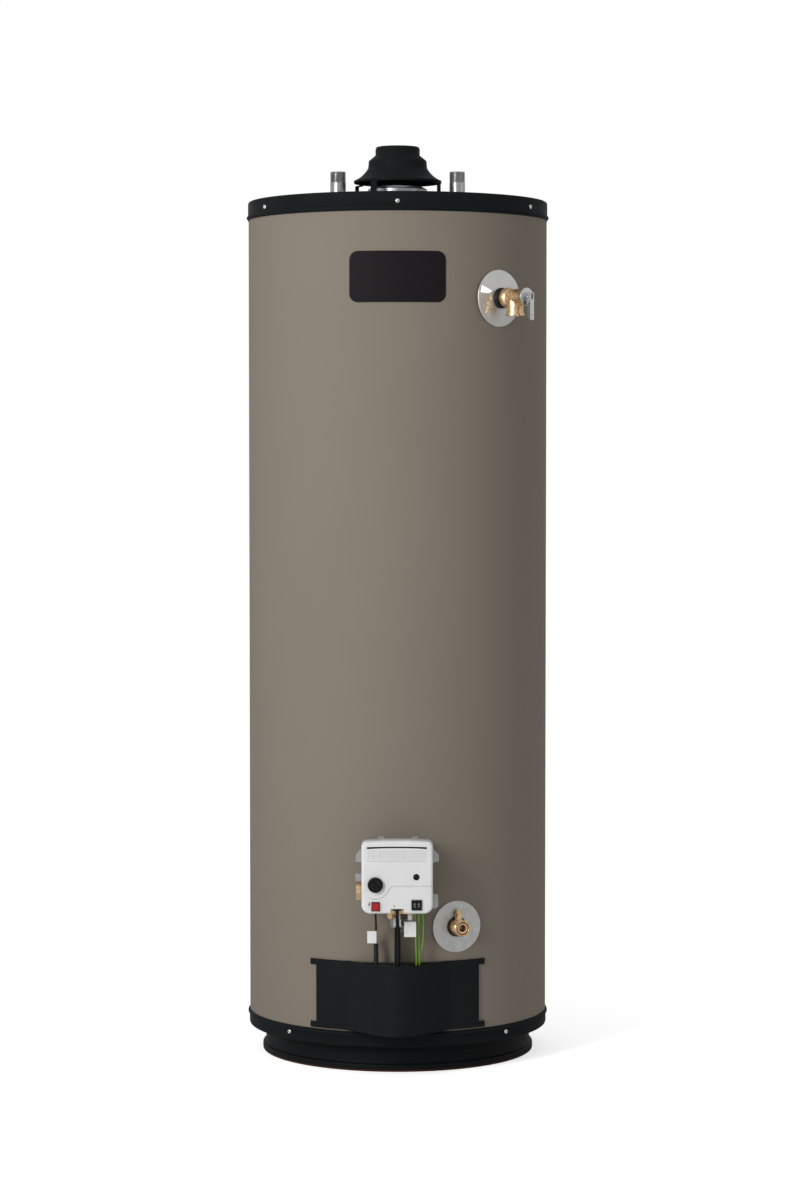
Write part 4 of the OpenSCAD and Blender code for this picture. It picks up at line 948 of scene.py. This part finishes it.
def slab(outline, height, thick=0.12):
    """A plate of an outline that turns one way about its middle, its top at `height`."""
    outline = np.asarray(outline, float)
    count = len(outline)
    top = np.hstack([outline, np.full((count, 1), height)])
    low = top - [0, 0, thick]
    side = np.arange(count)
    beside = (side + 1) % count
    walls = rows_of(side, side + count, beside + count, beside)
    return np.vstack([top, low]), walls.tolist() + [side.tolist(), (side[::-1] + count).tolist()]


def bar(x0, x1, y0, y1, height, thick=0.12):
    """A rectangular plate."""
    return slab([(x0, y0), (x1, y0), (x1, y1), (x0, y1)], height, thick)


def control_print():
    """Plain printed marks of the cover: a black bar, grey rules, a spark mark and a dot."""
    face, lower = UPPER_FACE + INK, LOWER_FACE + INK
    arch = np.linspace(-49.3, 47.3, 33)
    bow = 1 - (arch / 49) ** 2
    top = rows_of(arch, 49.1 + 0.9 * bow)
    under = rows_of(arch, 46.0 + 1.6 * bow)[::-1]
    spark = [(-45.2, -40.2), (-47.6, -45.4), (-45.6, -45.0), (-47.2, -49.6), (-43.6, -44.0),
             (-45.4, -44.2), (-43.8, -40.6)]
    turn = spokes(16)[0]
    dot = rows_of(np.cos(turn) - 5.3, np.sin(turn) - 46.9)
    black = [slab(np.vstack([top, under]), face), slab(dot, lower)]
    piece = make("control_bar", black + [slab(spark, lower)], "black_gloss", CONTROL_FRAME)
    lie_on(piece, "gas_valve_cover")
    grey = [bar(-49.0, 47.0, y - 0.11, y + 0.11, face) for y in np.linspace(43.0, 29.6, 9)]
    grey += [bar(x - 0.15, x + 0.15, 27.8, 43.6, face) for x in (-39, -28.4, 11.2)]
    grey += [bar(-49.3, 47.3, 26.0, 26.5, face)]
    piece = make("control_rules", grey, "grey_print", CONTROL_FRAME)
    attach(piece, BODY_OF["gas_valve_cover"])


def control_knob():
    """The temperature knob: a shallow dish with a raised bar across it.

    Height over a polar grid is the dish, which rises by 1 mm at the rim and is rounded off
    outside. The bar stands 2.8 mm above it, and its flanks are a soft S between 1.4 and
    2.5 mm from its middle line.
    """
    floor, bar_top, back, rows = 88, 90.8, 77.0, 70
    angle = spokes(144)
    edge = [11.6, 11.9, 12.1, 12.22, 12.25, 12.25]
    reach = np.concatenate([np.linspace(0.05, 11.2, rows), edge])[:, None]
    x, y = reach * np.cos(angle), reach * np.sin(angle)
    lean = math.radians(130)
    off = np.abs(-x * math.sin(lean) + y * math.cos(lean))
    dish = floor + smooth_step(reach, 9.7, 10.4)
    rounding = np.concatenate([np.zeros(rows), [0.1, 0.25, 0.5, 0.8, 1.1, 12]])[:, None]
    on_bar = smooth_step(2.5 - off, 0, 1.1) * smooth_step(11.1 - reach, 0, 0.6)
    height = dish - rounding + (bar_top - dish) * on_bar
    knob = closed_rings(rows_of(x, y, height), [0, 0, bar_top], [0, 0, back])
    place = CONTROL_FRAME @ Matrix.Translation((KNOB_AT[0] * MM, KNOB_AT[1] * MM, 0))
    stand_in("gas_knob", "control_knob", [knob], place, 40)


def control_light():
    """The status light: a black bezel with a domed lens in it."""
    profile = [
        (0.02, 83.4), (1.6, 83.3), (2.8, 82.9), (3.3, 82.4), (3.5, 82.4), (3.8, 83.4), (4.1, 83.6),
        (4.8, 83.6), (5.15, 83.3), (5.15, 79), (6.55, 78.6), (6.55, 74.8), (0.02, 74.8),
    ]
    place = CONTROL_FRAME @ Matrix.Translation((LIGHT_AT[0] * MM, LIGHT_AT[1] * MM, 0))
    stand_in("status_light", "control_light", [lathe(profile, 72)], place, 40)


def connector_pins():
    """Bright contact blades in the sensor connector's two sockets."""
    lots = [
        bar(x - 0.4, x + 0.4, y - 1.1, y + 1.1, 82.2, 5.5)
        for x in (26.6, 28.5, 33.4, 35.3)
        for y in (-43.4, -47.2)
    ]
    piece = make("connector_pins", lots, "plated_steel", CONTROL_FRAME)
    lie_on(piece, "sensor_connector")


def bent_tube(node, route, radius):
    """A rigid bent metal tube in place of a node."""
    stand_in(node, node + "_bent", [tube(smooth_route(route), radius, 24)], bend=60)


def lead(name, node, route, radius, sides=16):
    """A flexible lead between the gas control and the burner."""
    path = smooth_route(route)
    piece = stand_in(node, name, [tube(path, radius, sides)], bend=60)


def lead_plug():
    """The moulded plug on the thermopile lead's upper end, in the cover's notch."""
    x, y, _ = THERMOPILE[0]
    out, half, low, high = -y - JACKET_R, 7, 281.5 - GAS_Z, 290 - GAS_Z
    block = bar(x - half, x + half, low, high, out + 5, 10)
    round_edges(stand_in("thermopile_lead", "thermopile_plug", [block], CONTROL_FRAME), 0.8)


def outer_door():
    """The outer door as a smooth sheet.

    Its front is the jacket's cylinder with a cosine wave over the middle, whose height grows
    from the upper to the lower edge. Two soft grooves cross the nose.
    """
    low, high = (corner.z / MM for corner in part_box("outer_door"))
    half, seat, ear, wall = 119.5, JACKET_R + 3, 9.5, 2.5
    nose_low, nose_high, groove_depth, groove_width = 60, 47, 0.7, 1.3
    flank_edge, ear_edge = math.radians(31.7), math.radians(34.2)
    flank = seat * np.sin(np.linspace(math.asin(half / seat), ear_edge, 16)[1:])
    x = np.concatenate([-flank[::-1], np.linspace(-half, half, 161), flank])
    z = np.concatenate([[low], np.linspace(low + ear, high - ear, 61), [high]])
    z = np.unique(np.concatenate([z, np.linspace(low, high, 73)]).round(3))
    wide, tall = np.meshgrid(x, z)
    start = math.sqrt(seat**2 - half**2)
    nose = JACKET_R + nose_low + (nose_high - nose_low) * (tall - low) / (high - low)
    swell = (1 + np.cos(np.pi * np.clip(np.abs(wide) / half, 0, 1))) / 2
    wave = start + (nose - start) * swell
    flat = np.sqrt(seat**2 - wide**2)
    out = np.where(np.abs(wide) <= half, np.maximum(wave, flat), flat)
    for line in (low + 13, high - 16):
        groove = groove_depth * np.exp(-(((tall - line) / groove_width) ** 2))
        out = out - groove * smooth_step(40 - np.abs(wide), 0, 8)
    points = rows_of(wide, -out, tall).reshape(-1, 3)
    faces = grid_faces(len(z), len(x))
    middle = points[faces].mean(axis=1)
    past_flank = np.arctan2(np.abs(middle[:, 0]), -middle[:, 1]) > flank_edge
    between_ears = (middle[:, 2] > low + ear) & (middle[:, 2] < high - ear)
    used, faces = np.unique(faces[~(past_flank & between_ears)], return_inverse=True)
    sheet = (points[used], faces.reshape(-1, 4))
    thicken(stand_in("outer_door", "door_sheet", [sheet], bend=60), wall)


# ---- studio ----


def studio_world(surround):
    """White behind the object, to the eye and to mirrors that look back; grey elsewhere."""
    world = bpy.data.worlds.new("studio")
    world.use_nodes = True
    tree = world.node_tree
    path = add(tree, "LightPath")
    place = add(tree, "TexCoord").outputs["Generated"]
    depth = add(tree, "SeparateXYZ", {"Vector": place}).outputs["Y"]
    behind = between(tree, depth, 0, 1, 0.97, 0.995)
    kinds = ("Is Glossy Ray", "Is Transmission Ray", "Is Camera Ray")
    glossy, through, camera = (path.outputs[kind] for kind in kinds)
    mirror = maths(tree, "MAXIMUM", glossy, through)
    white = maths(tree, "MAXIMUM", maths(tree, "MULTIPLY", mirror, behind), camera)
    mirrored = surround + 0.17
    grey = blend(tree, mirror, [surround] * 3 + [1.0], [mirrored] * 3 + [1.0])
    colour = blend(tree, white, grey, [1.0, 1.0, 1.0, 1.0])
    background = tree.nodes["Background"]
    tree.links.new(colour, background.inputs["Color"])
    background.inputs["Strength"].default_value = 1.0
    bpy.context.scene.world = world


def studio_floor(colour):
    """A pale floor that reads white to the eye and keeps the object's shadow."""
    material, tree, shader, place = begin({"Roughness": 0.9, "Specular IOR Level": 0.1})
    material.name = "floor finish"
    cloud = noise(tree, place, 900)
    tint = blend(tree, cloud, [c * 0.99 for c in colour] + [1.0], list(colour) + [1.0])
    tree.links.new(tint, shader.inputs["Base Color"])
    glow = add(tree, "Emission", {"Color": [1, 1, 1, 1]})
    camera = add(tree, "LightPath").outputs["Is Camera Ray"]
    tree.links.new(maths(tree, "MULTIPLY", camera, 0.62), glow.inputs["Strength"])
    both = add(tree, "AddShader", {0: shader.outputs[0], 1: glow.outputs[0]})
    tree.links.new(both.outputs[0], tree.nodes["Material Output"].inputs["Surface"])
    half = 30.0
    corners = [(-half, -half, 0), (half, -half, 0), (half, half, 0), (-half, half, 0)]
    mesh = bpy.data.meshes.new("floor")
    mesh.from_pydata(corners, [], [(0, 1, 2, 3)])
    mesh.materials.append(material)
    put_in_scene("floor", mesh)


def softbox(name, turn, power, distance, height, width, tall):
    """A rectangular area light that faces the object's axis."""
    light = bpy.data.lights.new(name, "AREA")
    light.shape = "RECTANGLE"
    light.size = width
    light.size_y = tall
    light.energy = power
    lamp = put_in_scene(name, light)
    angle = math.radians(turn)
    lamp.location = (distance * math.sin(angle), -distance * math.cos(angle), height)
    lamp.rotation_euler = (math.pi / 2, 0, angle)


def studio_camera():
    """Camera far in front, a little above the middle and tilted down."""
    data = bpy.data.cameras.new("camera")
    data.lens = 93.65
    data.sensor_width = 36.0
    data.clip_end = 200.0
    camera = put_in_scene("camera", data)
    camera.location = (0.004, -5.35, 1.0222)
    camera.rotation_euler = (math.radians(90 - 2.692), 0, 0)
    bpy.context.scene.camera = camera


# ---- settings ----


def setting(name, default, description, **limits):
    """A number that the panel shows."""
    return FloatProperty(name=name, default=default, description=description, **limits)


def millimetres(name, default, description):
    """A length in millimetres."""
    return setting(name, default, description + ", in mm", min=0.0)


class HeaterCasingSettings(bpy.types.PropertyGroup):
    """Sizes of the casing's small parts."""

    pan_rim: millimetres("Pan rim", 1.3, "From the jacket to the screw heads' seats")
    screw_radius: millimetres("Screw radius", 3.9, "Radius of a pan screw's head")
    screw_crown: millimetres("Screw crown", 2.1, "Height of a pan screw's head")
    window_half: millimetres("Window half width", 88.0, "Half width of the jacket's window")
    window_low: millimetres("Window bottom", 75.0, "Height of the window's lower edge")
    window_high: millimetres("Window top", 185.0, "Height of the window's upper edge")


class HeaterPipeSettings(bpy.types.PropertyGroup):
    """Sizes of the threaded pipes."""

    nipple_wall: millimetres("Nipple wall", 2.9, "Wall of a water nipple")
    nipple_thread: millimetres("Nipple thread", 20.0, "Length of a nipple's thread")
    nipple_pitch: millimetres("Thread pitch", 1.81, "Pitch of a nipple's thread")
    nipple_depth: millimetres("Thread depth", 0.75, "Depth of a nipple's thread")


class HeaterStageSettings(bpy.types.PropertyGroup):
    """Light and floor of the studio."""

    surround: setting("Surround", 0.48, "Grey of the studio around the object")
    key_power: setting("Key power", 57.0, "Power of the tall softbox, in W", unit="POWER")
    key_bearing: setting("Key bearing", -35.0, "Its bearing from the front, in degrees")
    strip_power: setting("Strip power", 1.5, "Power of the small side light, in W", unit="POWER")
    strip_bearing: setting("Strip bearing", 68.4, "Its bearing from the front, in degrees")
    floor_colour: FloatVectorProperty(
        name="Floor", description="Colour of the floor", subtype="COLOR", size=3,
        default=(0.86, 0.86, 0.86),
    )


# ---- operators ----


class HEATER_OT_casing(bpy.types.Operator):
    """Jacket, pans, foot, badge, seam and pan screws"""

    bl_idname = "heater.casing"
    bl_label = "Casing"

    def execute(self, context):
        jacket_sheet()
        dress_all(CASING_EDGES)
        top = centre("top_pan_screws").z / MM
        bottom = centre("bottom_pan_screws").z / MM
        pan_screws("top_pan_screws", range(0, 360, 60), top)
        pan_screws("bottom_pan_screws", range(45, 360, 90), bottom)
        back_seam()
        paint_nodes()
        return {"FINISHED"}


class HEATER_OT_flue(bpy.types.Operator):
    """Draft hood, its legs and the flue"""

    bl_idname = "heater.flue"
    bl_label = "Flue and hood"

    def execute(self, context):
        dress_all(FLUE_EDGES)
        return {"FINISHED"}


class HEATER_OT_nipples(bpy.types.Operator):
    """Cold and hot water nipples"""

    bl_idname = "heater.nipples"
    bl_label = "Water nipples"

    def execute(self, context):
        nipple("cold_nipple")
        nipple("hot_nipple")
        return {"FINISHED"}


class HEATER_OT_relief(bpy.types.Operator):
    """Relief valve with its wall plate and lever"""

    bl_idname = "heater.relief"
    bl_label = "Relief valve"

    def execute(self, context):
        dress_all(RELIEF_EDGES)
        relief_plate()
        return {"FINISHED"}


class HEATER_OT_drain(bpy.types.Operator):
    """Drain valve with its wall plate"""

    bl_idname = "heater.drain"
    bl_label = "Drain valve"

    def execute(self, context):
        dress_all(DRAIN_EDGES)
        drain_body()
        return {"FINISHED"}


class HEATER_OT_control(bpy.types.Operator):
    """Gas control with its cover, knob, button and fittings"""

    bl_idname = "heater.control"
    bl_label = "Gas control"

    def execute(self, context):
        dress_all(CONTROL_EDGES)
        control_cover()
        control_print()
        control_knob()
        control_light()
        connector_pins()
        return {"FINISHED"}


class HEATER_OT_leads(bpy.types.Operator):
    """Gas tubes, ignition wire, thermopile lead, green wires and tags"""

    bl_idname = "heater.leads"
    bl_label = "Tubes and leads"

    def execute(self, context):
        bent_tube("manifold_tube", MANIFOLD, 4.75)
        bent_tube("pilot_tube", PILOT, 3.2)
        lead("ignition_lead", "ignition_wire", IGNITION, 1.7)
        lead("thermopile_cable", "thermopile_lead", THERMOPILE, 2.9)
        lead_plug()
        for index, route in enumerate(GREEN):
            lead(f"green_wire_{index + 1}", "green_wires", route, 1.0, 12)
        dress_all(LEAD_EDGES)
        return {"FINISHED"}


class HEATER_OT_door(bpy.types.Operator):
    """Outer door and the burner access behind it"""

    bl_idname = "heater.door"
    bl_label = "Door and access"

    def execute(self, context):
        outer_door()
        dress_all(BURNER_EDGES)
        return {"FINISHED"}


class HEATER_OT_stage(bpy.types.Operator):
    """Camera, floor, lights and surround"""

    bl_idname = "heater.stage"
    bl_label = "Studio"

    def execute(self, context):
        props = context.scene.heater_stage
        studio_camera()
        studio_floor(tuple(props.floor_colour))
        studio_world(props.surround)
        softbox(
            "key", props.key_bearing, props.key_power, distance=3.0, height=1.7,
            width=0.7, tall=1.9,
        )
        softbox(
            "strip", props.strip_bearing, props.strip_power, distance=3.18, height=1.66,
            width=0.24, tall=0.17,
        )
        context.scene.view_settings.view_transform = "Standard"
        return {"FINISHED"}


class HEATER_PT_panel(bpy.types.Panel):
    """Sizes and build buttons of the water heater"""

    bl_label = "Water heater"
    bl_space_type = "VIEW_3D"
    bl_region_type = "UI"
    bl_category = "Water heater"

    def draw(self, context):
        for group, keys in SETTINGS.items():
            box = self.layout.box()
            for key in keys.__annotations__:
                box.prop(getattr(context.scene, group), key)
        for operator in OPERATORS:
            self.layout.operator(operator.bl_idname)


SETTINGS = {
    "heater_casing": HeaterCasingSettings,
    "heater_pipes": HeaterPipeSettings,
    "heater_stage": HeaterStageSettings,
}
OPERATORS = (
    HEATER_OT_stage,
    HEATER_OT_leads,
    HEATER_OT_casing,
    HEATER_OT_flue,
    HEATER_OT_nipples,
    HEATER_OT_relief,
    HEATER_OT_drain,
    HEATER_OT_control,
    HEATER_OT_door,
)


def register():
    """Register the settings, operators and panel."""
    for group, settings in SETTINGS.items():
        bpy.utils.register_class(settings)
        setattr(bpy.types.Scene, group, PointerProperty(type=settings))
    for operator in OPERATORS:
        bpy.utils.register_class(operator)
    bpy.utils.register_class(HEATER_PT_panel)


def unregister():
    """Remove what register added."""
    bpy.utils.unregister_class(HEATER_PT_panel)
    for operator in reversed(OPERATORS):
        bpy.utils.unregister_class(operator)
    for group, settings in SETTINGS.items():
        delattr(bpy.types.Scene, group)
        bpy.utils.unregister_class(settings)


def main():
    """Build the whole heater and its studio."""
    register()
    for operator in OPERATORS:
        group, name = operator.bl_idname.split(".")
        getattr(getattr(bpy.ops, group), name)()


if __name__ == "__main__":
    main()
